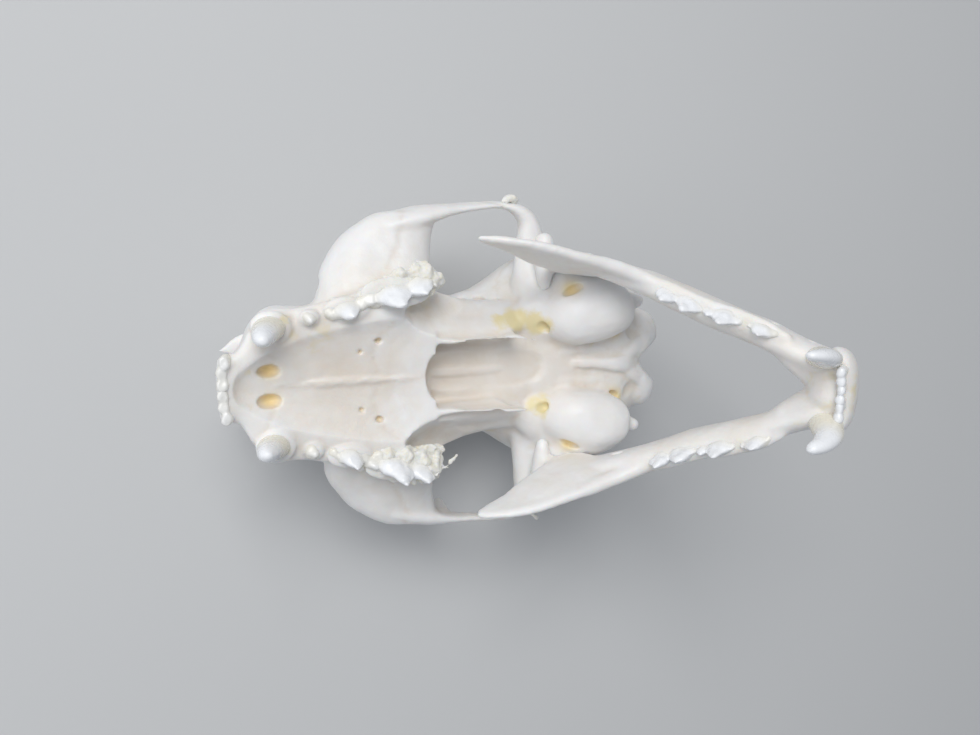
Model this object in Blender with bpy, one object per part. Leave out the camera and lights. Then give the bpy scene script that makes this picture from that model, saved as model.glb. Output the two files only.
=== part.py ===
"""Skull of an adult domestic cat, lying upside down on its dome with the jaw swung open.

The skull is modelled in its own frame and then laid down by two empties. In that frame
u runs back from the front of the incisors, y runs to the animal's left and z runs up from
the palate. The jaw has a frame of its own, with a running forward from the condyle axis
and b running up. Every length below is in millimetres; finished meshes are in metres.
"""

import math

import bmesh
import bpy
import numpy as np
from mathutils import Euler, Matrix, Vector

METRE = 0.001
GAP = 0.3

# How the skull lies: the muzzle is raised, and the animal's left side is the higher one.
MUZZLE_RAISED = -3.0
ROLLED_LEFT_UP = 9.0
TURNED = 3.04
FLAT_DEPTH = 0.5

# Jaw hinge in the skull frame and how far the jaw is swung open.
HINGE_U = 59.5
HINGE_Y = 0.25
HINGE_Z = 5.6
JAW_OPEN = 130.15
JAW_ROOM = 0.5

# Main sizes of the skull.
BRAIN_HALF_WIDTH = 21.3
DOME_HEIGHT = 36.8
ARCH_HALF_WIDTH = 31.2
ARCH_LEAN = 0.18
ORBIT_CENTRE = (32.4, 19.3, 21.0)
ORBIT_RADII = (12.0, 11.0, 12.2)
CONDYLE_RADIUS = 2.2

# Fineness of the bone surface while it is fused, and its triangles before the teeth go in.
COARSE_VOXEL = 0.8
FINE_VOXEL = 0.55
CRANIUM_TRIANGLES = 3750
JAW_TRIANGLES = 740
SHARP_ANGLE = 50.0

# Lofts along u: u, half width, lowest z, highest z, z of the widest level, squareness.
MUZZLE_SECTIONS = [
    (-0.2, 4.3, -1.2, 2.2, 0.0, 2.6),
    (1.2, 5.3, -1.5, 5.0, 0.6, 2.4),
    (2.8, 5.7, -1.4, 9.6, 1.2, 2.3),
    (4.2, 7.2, -1.2, 15.2, 2.0, 2.2),
    (6.0, 10.6, -0.8, 21.2, 2.6, 2.2),
    (9.0, 12.9, -0.6, 23.4, 3.6, 2.2),
    (13.0, 12.7, -0.2, 25.4, 4.4, 2.2),
    (17.5, 12.8, 0.0, 27.4, 6.0, 2.2),
    (22.0, 13.4, 0.2, 29.6, 8.0, 2.2),
    (26.0, 13.6, 0.4, 31.0, 9.0, 2.2),
]
FOREHEAD_SECTIONS = [
    (22.0, 10.0, 8.0, 29.6, 22.0, 2.2),
    (27.0, 10.2, 6.0, 31.6, 26.0, 2.2),
    (32.0, 10.6, 5.0, 33.4, 29.0, 2.2),
    (37.0, 12.6, 5.0, 34.8, 30.0, 2.1),
    (42.0, 12.4, 5.0, 35.7, 24.0, 2.0),
    (47.0, 13.2, 6.0, 36.3, 22.0, 2.0),
]
BRAINCASE_SECTIONS = [
    (41.0, 9.5, 8.0, 34.4, 20.0, 2.0),
    (45.0, 13.2, 7.2, 35.8, 18.0, 2.0),
    (50.0, 14.5, 6.6, 36.5, 18.0, 2.0),
    (53.4, 16.4, 6.2, 36.7, 19.0, 2.0),
    (57.0, 19.0, 5.9, DOME_HEIGHT, 20.0, 2.05),
    (62.0, BRAIN_HALF_WIDTH, 5.6, DOME_HEIGHT - 0.1, 20.5, 2.1),
    (68.0, 21.2, 5.6, 36.0, 20.0, 2.1),
    (74.0, 19.6, 5.8, 34.4, 18.5, 2.1),
    (79.0, 16.4, 6.4, 32.4, 17.5, 2.1),
    (83.0, 12.6, 8.6, 30.8, 18.0, 2.1),
    (86.0, 7.4, 14.0, 29.0, 22.0, 2.0),
]
ALVEOLAR_SECTIONS = [
    (0.1, 5.0, -1.4, 2.2, 0.2, 4.0),
    (1.6, 5.8, -1.4, 2.8, 0.3, 3.4),
    (3.0, 5.9, -1.3, 3.2, 0.3, 3.0),
    (4.2, 7.6, -1.2, 3.5, 0.4, 2.8),
    (5.4, 10.0, -1.1, 3.7, 0.5, 2.8),
    (6.8, 12.1, -1.1, 3.9, 0.6, 2.7),
    (9.0, 13.0, -1.0, 4.1, 0.8, 2.6),
    (13.0, 13.1, -0.8, 4.4, 0.8, 2.6),
    (18.0, 14.0, -0.8, 5.0, 0.8, 2.6),
    (24.0, 15.6, -0.9, 6.0, 0.9, 2.8),
    (30.0, 17.4, -0.9, 7.0, 0.9, 3.0),
    (35.4, 17.6, -0.7, 7.0, 1.2, 3.0),
    (37.0, 16.4, 0.2, 6.0, 2.0, 2.6),
]

# Floor of the orbit and cheek, lofted along y: y, front u, back u, lowest z, highest z.
CHEEK_SECTIONS = [
    (11.0, 17.0, 37.0, 0.6, 15.0),
    (15.0, 17.4, 37.4, 1.4, 15.0),
    (19.0, 18.2, 37.9, 3.2, 15.2),
    (22.5, 20.2, 38.2, 4.4, 15.4),
    (25.5, 22.8, 38.6, 5.2, 15.0),
    (28.0, 26.2, 39.4, 5.8, 13.6),
    (29.3, 29.5, 39.8, 6.6, 12.0),
]

# Sweeps: u, y, z, half thickness, half height.
ARCH_PATH = [
    (30.0, 27.0, 9.6, 1.7, 4.6),
    (36.0, 28.4, 9.4, 1.6, 4.4),
    (41.0, 29.5, 9.6, 1.1, 3.5),
    (46.0, ARCH_HALF_WIDTH - 1.0, 10.2, 0.85, 2.9),
    (50.8, 30.7, 10.6, 0.85, 2.7),
    (54.9, 30.2, 10.7, 1.2, 2.7),
    (58.0, 27.6, 10.6, 2.1, 2.6),
    (58.6, 22.6, 10.5, 3.1, 2.6),
    (58.6, 17.0, 10.6, 3.6, 3.0),
    (59.0, 13.0, 11.0, 3.6, 3.2),
]
POSTORBITAL_PATH = [
    (34.2, 6.0, 31.4, 2.6, 9.0),
    (34.4, 10.8, 31.8, 2.3, 7.2),
    (35.7, 15.0, 31.5, 2.0, 4.6),
    (37.7, 18.8, 30.5, 1.6, 2.7),
    (39.4, 21.8, 29.0, 1.2, 1.5),
    (40.4, 23.8, 27.6, 0.7, 0.7),
]
JUGAL_HORN_PATH = [
    (38.4, 29.0, 10.5, 1.1, 3.6),
    (40.2, 29.4, 14.0, 1.0, 2.6),
    (41.6, 29.3, 17.2, 0.8, 1.6),
    (42.4, 28.9, 19.8, 0.5, 0.7),
]
PTERYGOID_PATH = [
    (31.5, 8.6, 2.0, 1.8, 2.2),
    (35.5, 6.9, 3.2, 0.9, 3.6),
    (40.0, 6.3, 3.9, 0.65, 4.2),
    (46.0, 6.3, 3.6, 0.6, 4.0),
    (51.0, 6.6, 2.8, 0.6, 4.2),
    (54.2, 6.6, 0.4, 0.5, 1.8),
    (56.0, 6.4, -1.4, 0.4, 0.6),
]
NUCHAL_CREST_PATH = [
    (70.5, 17.6, 8.2, 1.6, 1.5),
    (74.5, 17.4, 12.8, 1.4, 1.4),
    (78.8, 15.2, 18.6, 1.2, 1.2),
    (82.6, 11.2, 23.4, 1.2, 1.2),
    (85.6, 6.0, 26.8, 1.2, 1.3),
    (86.8, 0.0, 28.2, 1.3, 1.5),
]
PAROCCIPITAL_PATH = [
    (77.5, 13.0, 10.5, 2.2, 3.0),
    (78.4, 12.6, 7.2, 1.3, 2.0),
    (79.0, 12.0, 4.0, 0.6, 0.9),
]
OCCIPITAL_CONDYLE_PATH = [
    (80.2, 1.6, 7.6, 1.1, 1.1),
    (81.9, 3.4, 7.8, 1.8, 1.7),
    (82.9, 5.4, 8.6, 2.4, 2.3),
    (82.4, 7.4, 10.6, 2.5, 2.5),
    (81.6, 8.0, 13.4, 2.1, 2.1),
    (80.8, 7.4, 16.2, 1.2, 1.3),
]
POSTGLENOID_PATH = [
    (62.6, 13.2, 7.6, 1.0, 1.8),
    (63.1, 15.4, 6.4, 1.1, 2.8),
    (62.9, 18.0, 7.4, 1.0, 2.0),
    (62.4, 21.4, 8.8, 0.9, 1.4),
]
NASAL_TIP_PATH = [
    (12.0, 3.4, 21.8, 3.3, 1.8),
    (8.0, 4.0, 20.8, 3.4, 1.5),
    (5.2, 4.3, 20.1, 2.9, 1.1),
    (3.2, 4.2, 19.8, 1.9, 0.9),
    (1.6, 3.9, 19.8, 0.9, 0.7),
    (0.4, 3.7, 19.8, 0.5, 0.45),
]
# Bone over the throat passage and the walls that run back from the palate's ends.
THROAT_ROOF_PATH = [
    (33.0, 0.0, 9.6, 7.0, 3.2),
    (40.0, 0.0, 9.8, 7.4, 3.4),
    (48.0, 0.0, 9.8, 7.6, 3.4),
    (56.0, 0.0, 9.6, 7.4, 3.4),
]
PALATE_WALL_PATH = [
    (34.5, 12.8, 5.5, 3.2, 3.4),
    (38.0, 12.3, 8.0, 3.0, 3.6),
    (41.5, 11.0, 11.0, 2.8, 3.6),
    (46.0, 10.4, 13.5, 3.0, 4.0),
]

# Swellings of the base and the back: centre and radii along u, y and z.
MASTOID_CENTRE = (67.5, 16.6, 8.6)
MASTOID_RADII = (8.0, 3.6, 5.0)
INION_CENTRE = (84.6, 0.0, 28.4)
INION_RADII = (4.0, 1.6, 3.2)
INION_TILT = 25
BASE_CENTRE = (68.0, 0.0, 8.6)
BASE_RADII = (13.0, 6.0, 2.8)

# Hollows: the orbits' turn, the pinch behind the orbits and the palate's two fissures.
ORBIT_TURN = 14
TEMPORAL_CENTRE = (44.0, 22.6, 22.0)
TEMPORAL_RADII = (8.4, 9.6, 8.0)
FISSURE_CENTRE = (8.3, 2.5, 0.0)
FISSURE_RADII = (2.1, 1.2, 2.6)

# Hollows and openings as sweeps: the palate's vault, the nose, the throat passage (upright), the scoop
# behind the last molar, the spinal opening and the infraorbital canal.
VAULT_PATH = [
    (3.0, 0.0, -2.4, 3.0, 2.0),
    (8.0, 0.0, -2.4, 6.4, 3.2),
    (14.0, 0.0, -2.4, 9.2, 3.7),
    (20.0, 0.0, -2.4, 10.6, 3.9),
    (28.0, 0.0, -2.4, 12.0, 3.8),
    (34.0, 0.0, -2.4, 12.4, 3.3),
    (40.0, 0.0, -2.4, 12.0, 3.0),
]
NOSE_PATH = [
    (-3.0, 0.0, 12.0, 5.6, 8.0),
    (5.0, 0.0, 12.0, 5.4, 7.4),
    (12.0, 0.0, 12.0, 4.4, 6.4),
    (16.0, 0.0, 12.0, 3.0, 4.6),
]
THROAT_PATH = [
    (46.6, 0.0, -9.0, 5.8, 11.3),
    (46.6, 0.0, 0.0, 5.8, 11.3),
    (46.6, 0.0, 2.5, 5.7, 11.2),
    (46.6, 0.0, 4.4, 5.3, 10.8),
    (46.6, 0.0, 5.8, 4.6, 10.0),
    (46.6, 0.0, 6.6, 2.8, 8.6),
]
SCOOP_PATH = [
    (31.4, 12.5, -1.0, 0.7, 1.8),
    (32.4, 12.3, -1.0, 1.7, 3.2),
    (33.8, 11.8, -1.0, 2.75, 4.6),
    (36.5, 11.1, -1.0, 3.45, 6.6),
    (39.5, 10.8, -1.0, 3.6, 8.8),
    (44.0, 10.9, -1.0, 3.7, 10.6),
    (49.0, 11.2, -1.0, 3.8, 10.4),
]
SPINAL_PATH = [
    (90.0, 0.0, 12.6, 6.4, 5.4),
    (84.0, 0.0, 13.0, 6.3, 5.4),
    (79.0, 0.0, 13.4, 5.6, 5.0),
    (76.0, 0.0, 13.6, 4.0, 3.6),
]
INFRAORBITAL_PATH = [
    (16.0, 17.4, 9.2, 1.0, 1.8),
    (21.5, 15.0, 9.8, 1.0, 1.8),
    (26.0, 14.0, 10.6, 1.0, 1.8),
]

# Ear capsules (auditory bullae): centre, radii and how far the long axis points outwards.
BULLA_CENTRE = (69.4, 10.4, 4.2)
BULLA_RADII = (10.0, 5.9, 6.4)
BULLA_SPLAY = 16.0
BULLA_CUT_Z = 6.0
# Ear opening, from outside to its end: u, y, z, half thickness, half height.
EAR_PATH = [
    (65.0, 22.0, 5.0, 2.0, 2.0),
    (65.8, 17.0, 6.2, 1.9, 1.9),
    (66.4, 13.0, 7.2, 1.3, 1.5),
]
# Thin cuts that part the cranium: the arches at this distance from the midline, and the
# face from the braincase along a plane between these two values of u, at its two ends.
ARCH_CUT_Y = 21.6
FACE_CUT_LOW = 38.0
FACE_CUT_HIGH = 47.0

# Jaw: a, y, b, half thickness, half height.
JAW_BODY_PATH = [
    (55.0, 2.1, -4.4, 1.8, 3.4),
    (52.8, 2.9, -4.8, 2.5, 4.6),
    (49.5, 4.1, -4.7, 2.6, 4.9),
    (45.5, 5.8, -4.6, 2.4, 4.7),
    (40.0, 8.3, -4.5, 2.4, 4.6),
    (34.0, 10.4, -4.5, 2.4, 4.8),
    (28.0, 12.7, -4.5, 2.4, 5.1),
    (22.0, 15.2, -4.2, 2.2, 5.4),
    (16.0, 17.3, -3.3, 1.9, 5.6),
    (10.0, 18.9, -2.8, 1.5, 5.2),
    (4.0, 20.0, -4.4, 1.3, 3.6),
    (0.4, 20.6, -6.6, 1.1, 2.2),
    (-1.6, 20.8, -8.0, 0.8, 1.0),
]
# Upright plate of the jaw, from its root to the coronoid tip: a, y, b, half thickness, half length.
CORONOID_PATH = [
    (11.0, 18.2, -3.0, 1.2, 8.2),
    (9.0, 19.0, 3.0, 1.0, 7.6),
    (6.4, 20.6, 9.0, 0.95, 6.1),
    (3.0, 22.7, 14.6, 0.9, 4.4),
    (-0.4, 23.8, 18.6, 0.7, 2.4),
    (-2.3, 24.2, 20.2, 0.5, 1.0),
]
JAW_CONDYLE_PATH = [
    (0.0, 14.6, -0.5, 1.2, 1.2),
    (0.0, 16.2, -0.2, CONDYLE_RADIUS, CONDYLE_RADIUS - 0.1),
    (0.0, 21.0, 0.1, CONDYLE_RADIUS, CONDYLE_RADIUS),
    (0.0, 24.2, 0.3, 1.7, 1.6),
    (0.0, 25.2, 0.4, 0.8, 0.8),
]
JAW_NECK_PATH = [
    (0.6, 19.6, -0.6, 2.2, 1.6),
    (4.0, 20.4, -1.4, 1.6, 2.4),
    (9.0, 20.2, -1.6, 1.3, 4.0),
]

# Swelling of the chin and the hollow for the chewing muscle, in the jaw frame: centre and radii.
CHIN_CENTRE = (51.0, 1.9, -5.4)
CHIN_RADII = (4.6, 2.4, 4.2)
MASSETER_CENTRE = (9.4, 24.4, 3.0)
MASSETER_RADII = (6.6, 4.2, 6.0)

# Teeth: name, front end, back end (both as u or a, y), gum level, half thickness, cusps.
# A cusp is its place along the tooth from 0 to 1 and its height above the gum.
UPPER_TEETH = {
    "second_premolar": ((14.0, 11.2), (15.9, 11.5), -0.6, 0.8, [(0.5, 1.6)]),
    "third_premolar": ((18.2, 11.8), (24.2, 13.6), -0.5, 1.3, [(0.1, 1.2), (0.45, 3.4), (0.9, 1.3)]),
    "fourth_premolar": ((24.6, 13.9), (35.4, 16.9), -0.6, 1.5, [(0.06, 2.6), (0.4, 5.4), (0.88, 3.2)]),
    "molar": ((35.3, 14.6), (36.5, 17.4), -0.4, 0.8, [(0.3, 1.0), (0.7, 1.2)]),
}
LOWER_TEETH = {
    "third_premolar": ((43.2, 8.6), (38.4, 10.3), -0.6, 1.1, [(0.1, 1.2), (0.5, 4.4), (0.9, 1.6)]),
    "fourth_premolar": ((37.6, 10.5), (31.0, 12.4), -0.4, 1.2, [(0.08, 2.0), (0.45, 5.2), (0.85, 2.6)]),
    "molar": ((30.6, 12.3), (22.4, 15.6), -0.4, 1.3, [(0.28, 4.8), (0.72, 4.4)]),
}
# Incisors: u or a, y and height of the crown. An incisor's stations, from its root: shift along
# u or a, z or b, half thickness and half length; the last station stands at the crown's height.
UPPER_INCISORS = [(0.7, 0.95, 1.0), (0.85, 2.8, 1.0), (1.5, 4.65, 1.2)]
LOWER_INCISORS = [(55.6, 0.9, 1.8), (55.2, 2.2, 2.1), (54.5, 3.5, 2.5)]
UPPER_INCISOR_PATH = [
    (0.8, 0.6, 0.75, 0.8),
    (0.2, -0.9, 0.8, 0.8),
    (-0.1, -0.9, 0.7, 0.5),
]
LOWER_INCISOR_PATH = [
    (-1.8, -3.2, 0.55, 0.9),
    (0.0, -0.8, 0.6, 0.75),
    (0.2, -0.6, 0.55, 0.35),
]
# Canines: stations from the root in the bone to the tip: u or a, y, z or b, half width, half length.
UPPER_CANINE_PATH = [
    (9.6, 10.2, 3.0, 2.0, 2.4),
    (8.4, 9.9, -1.0, 1.9, 2.4),
    (7.6, 9.6, -4.4, 1.6, 2.0),
    (7.1, 9.2, -7.4, 1.2, 1.4),
    (7.0, 8.9, -9.8, 0.7, 0.75),
]
LOWER_CANINE_PATH = [
    (50.6, 5.2, -2.8, 2.0, 2.3),
    (51.9, 5.6, 1.0, 1.8, 2.3),
    (52.6, 6.2, 4.4, 1.5, 1.8),
    (51.9, 6.8, 8.0, 1.0, 1.2),
    (50.4, 7.2, 11.3, 0.35, 0.4),
]

# Finishes: bone is pale, the ear capsules and the joint surfaces are a little more yellow.
BONE_COLOUR = (0.86, 0.83, 0.76, 1.0)
BULLA_COLOUR = (0.85, 0.80, 0.68, 1.0)
JAW_COLOUR = (0.88, 0.86, 0.80, 1.0)


def clear_scene():
    """Remove every object, so that the model starts from nothing."""
    for old in list(bpy.data.objects):
        bpy.data.objects.remove(old, do_unlink=True)


def skull_point(u, y, z):
    """A point of the skull frame as a vector whose x runs forwards."""
    return Vector((-u, y, z))


def jaw_point(a, y, b):
    """A point of the jaw frame, whose x runs forwards too."""
    return Vector((a, y, b))


def smooth_rows(rows, steps):
    """Rows of numbers filled in along a Catmull-Rom curve, with a number of steps per span."""
    rows = np.array(rows, dtype=float)
    ends = np.vstack([2 * rows[0] - rows[1], rows, 2 * rows[-1] - rows[-2]])
    filled = []
    for index in range(len(rows) - 1):
        before, start, end, after = ends[index:index + 4]
        for step in range(steps):
            t = step / steps
            curve = 2 * start + (end - before) * t
            curve = curve + (2 * before - 5 * start + 4 * end - after) * t ** 2
            curve = curve + (3 * start - before - 3 * end + after) * t ** 3
            filled.append(curve / 2)
    filled.append(rows[-1])
    return filled


def squircle(angle, power):
    """Cosine and sine of a superellipse at an angle; a power of 2 is a plain ellipse."""
    across = math.copysign(abs(math.cos(angle)) ** (2 / power), math.cos(angle))
    upward = math.copysign(abs(math.sin(angle)) ** (2 / power), math.sin(angle))
    return across, upward


def skin_rings(bm, rings):
    """Close a row of equal rings of points into one skin with capped ends."""
    loops = []
    for ring in rings:
        loops.append([bm.verts.new(point) for point in ring])
    faces = []
    sides = len(loops[0])
    for first, second in zip(loops, loops[1:]):
        for side in range(sides):
            after = (side + 1) % sides
            faces.append(bm.faces.new((first[side], first[after], second[after], second[side])))
    faces.append(bm.faces.new(loops[0][::-1]))
    faces.append(bm.faces.new(loops[-1]))
    bmesh.ops.recalc_face_normals(bm, faces=faces)


def add_loft(bm, sections, steps=3, sides=36):
    """A body whose sections stand across u, each with a widest level and a squareness."""
    rings = []
    for u, half_width, low, high, widest, power in smooth_rows(sections, steps):
        ring = []
        for side in range(sides):
            across, upward = squircle(math.tau * side / sides, power)
            reach = high - widest if upward > 0 else widest - low
            ring.append(skull_point(u, across * half_width, widest + upward * reach))
        rings.append(ring)
    skin_rings(bm, rings)


def add_cheek(bm, side, steps=3, sides=32):
    """Floor of the orbit: sections across y that widen into the root of the cheekbone."""
    rings = []
    for y, front, back, low, high in smooth_rows(CHEEK_SECTIONS, steps):
        ring = []
        for corner in range(sides):
            across, upward = squircle(math.tau * corner / sides, 2.8)
            u = (front + back) / 2 + across * (back - front) / 2
            ring.append(skull_point(u, side * y, (low + high) / 2 + upward * (high - low) / 2))
        rings.append(ring)
    skin_rings(bm, rings)


def add_sweep(bm, path, side=1, place=skull_point, up=(0, 0, 1), steps=4, sides=16, power=2.2):
    """A limb along a path; its height lies nearest to the up direction, given for the left side."""
    up = Vector((up[0], up[1] * side, up[2]))
    rows = smooth_rows(path, steps)
    centres = [place(row[0], side * row[1], row[2]) for row in rows]
    rings = []
    for index, row in enumerate(rows):
        ahead = centres[min(index + 1, len(rows) - 1)]
        behind = centres[max(index - 1, 0)]
        along = (ahead - behind).normalized()
        height = (up - along * up.dot(along)).normalized()
        thickness = along.cross(height)
        ring = []
        for corner in range(sides):
            across, upward = squircle(math.tau * corner / sides, power)
            ring.append(centres[index] + thickness * (across * row[3]) + height * (upward * row[4]))
        rings.append(ring)
    skin_rings(bm, rings)


def add_blob(bm, centre, radii, turn=(0.0, 0.0, 0.0), side=1, place=skull_point, sides=28):
    """An ellipsoid with its radii along u, y and z, turned by degrees about x, y and z."""
    spot = place(centre[0], side * centre[1], centre[2])
    angles = [math.radians(turn[0] * side), math.radians(turn[1]), math.radians(turn[2] * side)]
    matrix = Matrix.Translation(spot) @ Euler(angles).to_matrix().to_4x4()
    matrix = matrix @ Matrix.Diagonal((*radii, 1.0))
    made = bmesh.ops.create_uvsphere(bm, u_segments=sides, v_segments=sides // 2, radius=1.0, matrix=matrix)
    faces = list({face for vert in made["verts"] for face in vert.link_faces})
    bmesh.ops.recalc_face_normals(bm, faces=faces)


def add_box(bm, low, high):
    """A box between two corners given in u, y and z."""
    corners = [skull_point(*low), skull_point(*high)]
    middle = (corners[0] + corners[1]) / 2
    size = corners[1] - corners[0]
    matrix = Matrix.Translation(middle) @ Matrix.Diagonal((abs(size.x), abs(size.y), abs(size.z), 1.0))
    bmesh.ops.create_cube(bm, size=1.0, matrix=matrix)


def new_object(name, bm):
    """An object made from finished mesh data."""
    mesh = bpy.data.meshes.new(name)
    bm.to_mesh(mesh)
    bm.free()
    made = bpy.data.objects.new(name, mesh)
    bpy.context.scene.collection.objects.link(made)
    return made


def build(name, *steps):
    """An object made by several steps that each add bodies to one mesh."""
    bm = bmesh.new()
    for step in steps:
        step(bm)
    return new_object(name, bm)


def settle(made):
    """Put the result of an object's modifiers into its mesh."""
    graph = bpy.context.evaluated_depsgraph_get()
    mesh = bpy.data.meshes.new_from_object(made.evaluated_get(graph))
    made.modifiers.clear()
    old = made.data
    made.data = mesh
    bpy.data.meshes.remove(old)


def fuse(made, voxel, rounds):
    """Melt overlapping bodies into one skin and soften it."""
    remesh = made.modifiers.new("fuse", "REMESH")
    remesh.mode = "VOXEL"
    remesh.voxel_size = voxel
    if rounds:
        soften = made.modifiers.new("soften", "SMOOTH")
        soften.factor = 0.5
        soften.iterations = rounds
    settle(made)


def combine(made, other, operation):
    """Join, cut or keep the overlap with another object, which is then removed."""
    boolean = made.modifiers.new("combine", "BOOLEAN")
    boolean.operation = operation
    boolean.solver = "EXACT"
    boolean.object = other
    settle(made)
    bpy.data.objects.remove(other, do_unlink=True)


def carve(made, cutters):
    """Cut a list of shapes out of an object, one after the other."""
    for cutter in cutters:
        combine(made, build("cutter", cutter), "DIFFERENCE")


def thin_out(made, triangles):
    """Reduce a surface to a number of triangles."""
    thinner = made.modifiers.new("triangles", "TRIANGULATE")
    thinner.quad_method = "BEAUTY"
    settle(made)
    reduce = made.modifiers.new("reduce", "DECIMATE")
    reduce.ratio = triangles / len(made.data.polygons)
    settle(made)


def absorb(made, other):
    """Add another object's bodies to an object's mesh without joining their surfaces."""
    bm = bmesh.new()
    bm.from_mesh(made.data)
    bm.from_mesh(other.data)
    bm.to_mesh(made.data)
    bm.free()
    bpy.data.objects.remove(other, do_unlink=True)


def both_sides(shape, *args, **options):
    """A step that adds a shape on the left and on the right."""
    def step(bm):
        for side in (1, -1):
            shape(bm, *args, side=side, **options)
    return step


def once(shape, *args, **options):
    """A step that adds a shape once."""
    return lambda bm: shape(bm, *args, **options)


def make_cranium():
    """The upper skull as one bone, without its ear capsules and teeth."""
    bulk = build(
        "bulk",
        once(add_loft, MUZZLE_SECTIONS),
        once(add_loft, FOREHEAD_SECTIONS),
        once(add_loft, BRAINCASE_SECTIONS),
        both_sides(add_cheek),
    )
    fuse(bulk, COARSE_VOXEL, 6)
    carve(bulk, [
        both_sides(add_blob, ORBIT_CENTRE, ORBIT_RADII, turn=(0, 0, ORBIT_TURN)),
        both_sides(add_blob, TEMPORAL_CENTRE, TEMPORAL_RADII),
    ])
    fuse(bulk, COARSE_VOXEL, 4)
    detail = build(
        "detail",
        once(add_loft, ALVEOLAR_SECTIONS),
        both_sides(add_sweep, ARCH_PATH, up=(0, ARCH_LEAN, 1)),
        both_sides(add_sweep, POSTORBITAL_PATH, up=(1, 0, 0)),
        both_sides(add_sweep, JUGAL_HORN_PATH, up=(1, 0, 0)),
        both_sides(add_sweep, PTERYGOID_PATH),
        both_sides(add_sweep, NUCHAL_CREST_PATH, up=(-0.7, 0, 0.7)),
        both_sides(add_sweep, PAROCCIPITAL_PATH, up=(0, 1, 0)),
        both_sides(add_sweep, OCCIPITAL_CONDYLE_PATH, up=(1, 0, 0)),
        both_sides(add_sweep, POSTGLENOID_PATH),
        both_sides(add_sweep, NASAL_TIP_PATH),
        both_sides(add_sweep, PALATE_WALL_PATH),
        once(add_sweep, THROAT_ROOF_PATH, sides=24, power=4),
        both_sides(add_blob, MASTOID_CENTRE, MASTOID_RADII),
        once(add_blob, INION_CENTRE, INION_RADII, turn=(0, INION_TILT, 0)),
        once(add_blob, BASE_CENTRE, BASE_RADII),
    )
    absorb(bulk, detail)
    fuse(bulk, FINE_VOXEL, 3)
    carve(bulk, palate_and_openings() + jaw_rooms())
    fuse(bulk, FINE_VOXEL, 2)
    return bulk


def jaw_turn():
    """Matrix that takes the jaw frame into the skull frame with the jaw swung open."""
    hinge = Matrix.Translation((-HINGE_U, HINGE_Y, HINGE_Z))
    return hinge @ Matrix.Rotation(math.radians(JAW_OPEN), 4, "Y")


def room_for_jaw(path, side, up):
    """A cutter that is wider and longer than one limb of the open jaw by the room it needs."""
    rows = np.array(path, dtype=float)
    rows[:, 3:] += JAW_ROOM
    for end, inner in ((0, 1), (-1, -2)):
        outward = rows[end, :3] - rows[inner, :3]
        rows[end, :3] += outward / np.linalg.norm(outward) * JAW_ROOM

    def step(bm):
        add_sweep(bm, rows, side=side, place=jaw_point, up=up, steps=2, sides=14)
        bm.transform(jaw_turn())
    return step


def jaw_rooms():
    """Cutters that keep the cranium clear of both halves of the open jaw."""
    cutters = []
    for side in (1, -1):
        cutters.append(room_for_jaw(JAW_CONDYLE_PATH, side, (0, 0, 1)))
        cutters.append(room_for_jaw(JAW_NECK_PATH, side, (0, 0, 1)))
        cutters.append(room_for_jaw(JAW_BODY_PATH[-5:], side, (0, 0, 1)))
        cutters.append(room_for_jaw(CORONOID_PATH, side, (1, 0, 0)))
    return cutters


def palate_and_openings():
    """Cutters for the palate's vault, the nose, the throat passage and the other openings."""
    return [
        once(add_sweep, VAULT_PATH, sides=24, power=2),
        once(add_sweep, NOSE_PATH),
        once(add_sweep, THROAT_PATH, up=(1, 0, 0), sides=24, power=3),
        both_sides(add_sweep, SCOOP_PATH),
        both_sides(add_blob, FISSURE_CENTRE, FISSURE_RADII),
        once(add_sweep, SPINAL_PATH),
        both_sides(add_sweep, EAR_PATH),
        both_sides(add_sweep, INFRAORBITAL_PATH),
    ]


def bulla_step(grow, top, sides=(1, -1)):
    """The ear capsules as one step, grown by a margin and cut flat at the top."""
    def step(bm):
        radii = [radius + grow for radius in BULLA_RADII]
        for side in sides:
            add_blob(bm, BULLA_CENTRE, radii, turn=(0, 0, -BULLA_SPLAY), side=side, sides=20)
        everything = list(bm.verts) + list(bm.edges) + list(bm.faces)
        plane = dict(plane_co=(0, 0, top), plane_no=(0, 0, 1))
        cut = bmesh.ops.bisect_plane(bm, geom=everything, clear_outer=True, **plane)
        rim = [item for item in cut["geom_cut"] if isinstance(item, bmesh.types.BMEdge)]
        bmesh.ops.holes_fill(bm, edges=rim)
        bmesh.ops.recalc_face_normals(bm, faces=bm.faces)
    return step


def tooth_step(front, back, gum, half_thickness, cusps, crown, place, side, spans=6, sides=6):
    """A cheek tooth: a blade along the tooth row whose edge rises to its cusps."""
    def step(bm):
        start = place(front[0], side * front[1], gum)
        end = place(back[0], side * back[1], gum)
        along = (end - start).normalized()
        across = along.cross(Vector((0, 0, 1)))
        rings = []
        for span in range(spans + 1):
            t = span / spans
            fill = math.sqrt(max(0.0, 1 - (2 * t - 1) ** 4)) * 0.85 + 0.15
            height = max(0.35, max(top - 1.9 * abs(t - spot) * top for spot, top in cusps))
            centre = start.lerp(end, t)
            ring = []
            for corner in range(sides):
                wide, tall = squircle(math.tau * corner / sides, 1.7)
                lift = tall * height if tall > 0 else tall * 1.6
                ring.append(centre + across * (wide * half_thickness * fill) + Vector((0, 0, crown * lift)))
            rings.append(ring)
        skin_rings(bm, rings)
    return step


def incisor_path(first, y, height, stations):
    """An incisor's path from its place, its crown's signed height and its stations."""
    path = [(first + shift, y, level, thick, long) for shift, level, thick, long in stations]
    shift, level, thick, long = stations[-1]
    path[-1] = (first + shift, y, level + height, thick, long)
    return path


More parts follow.
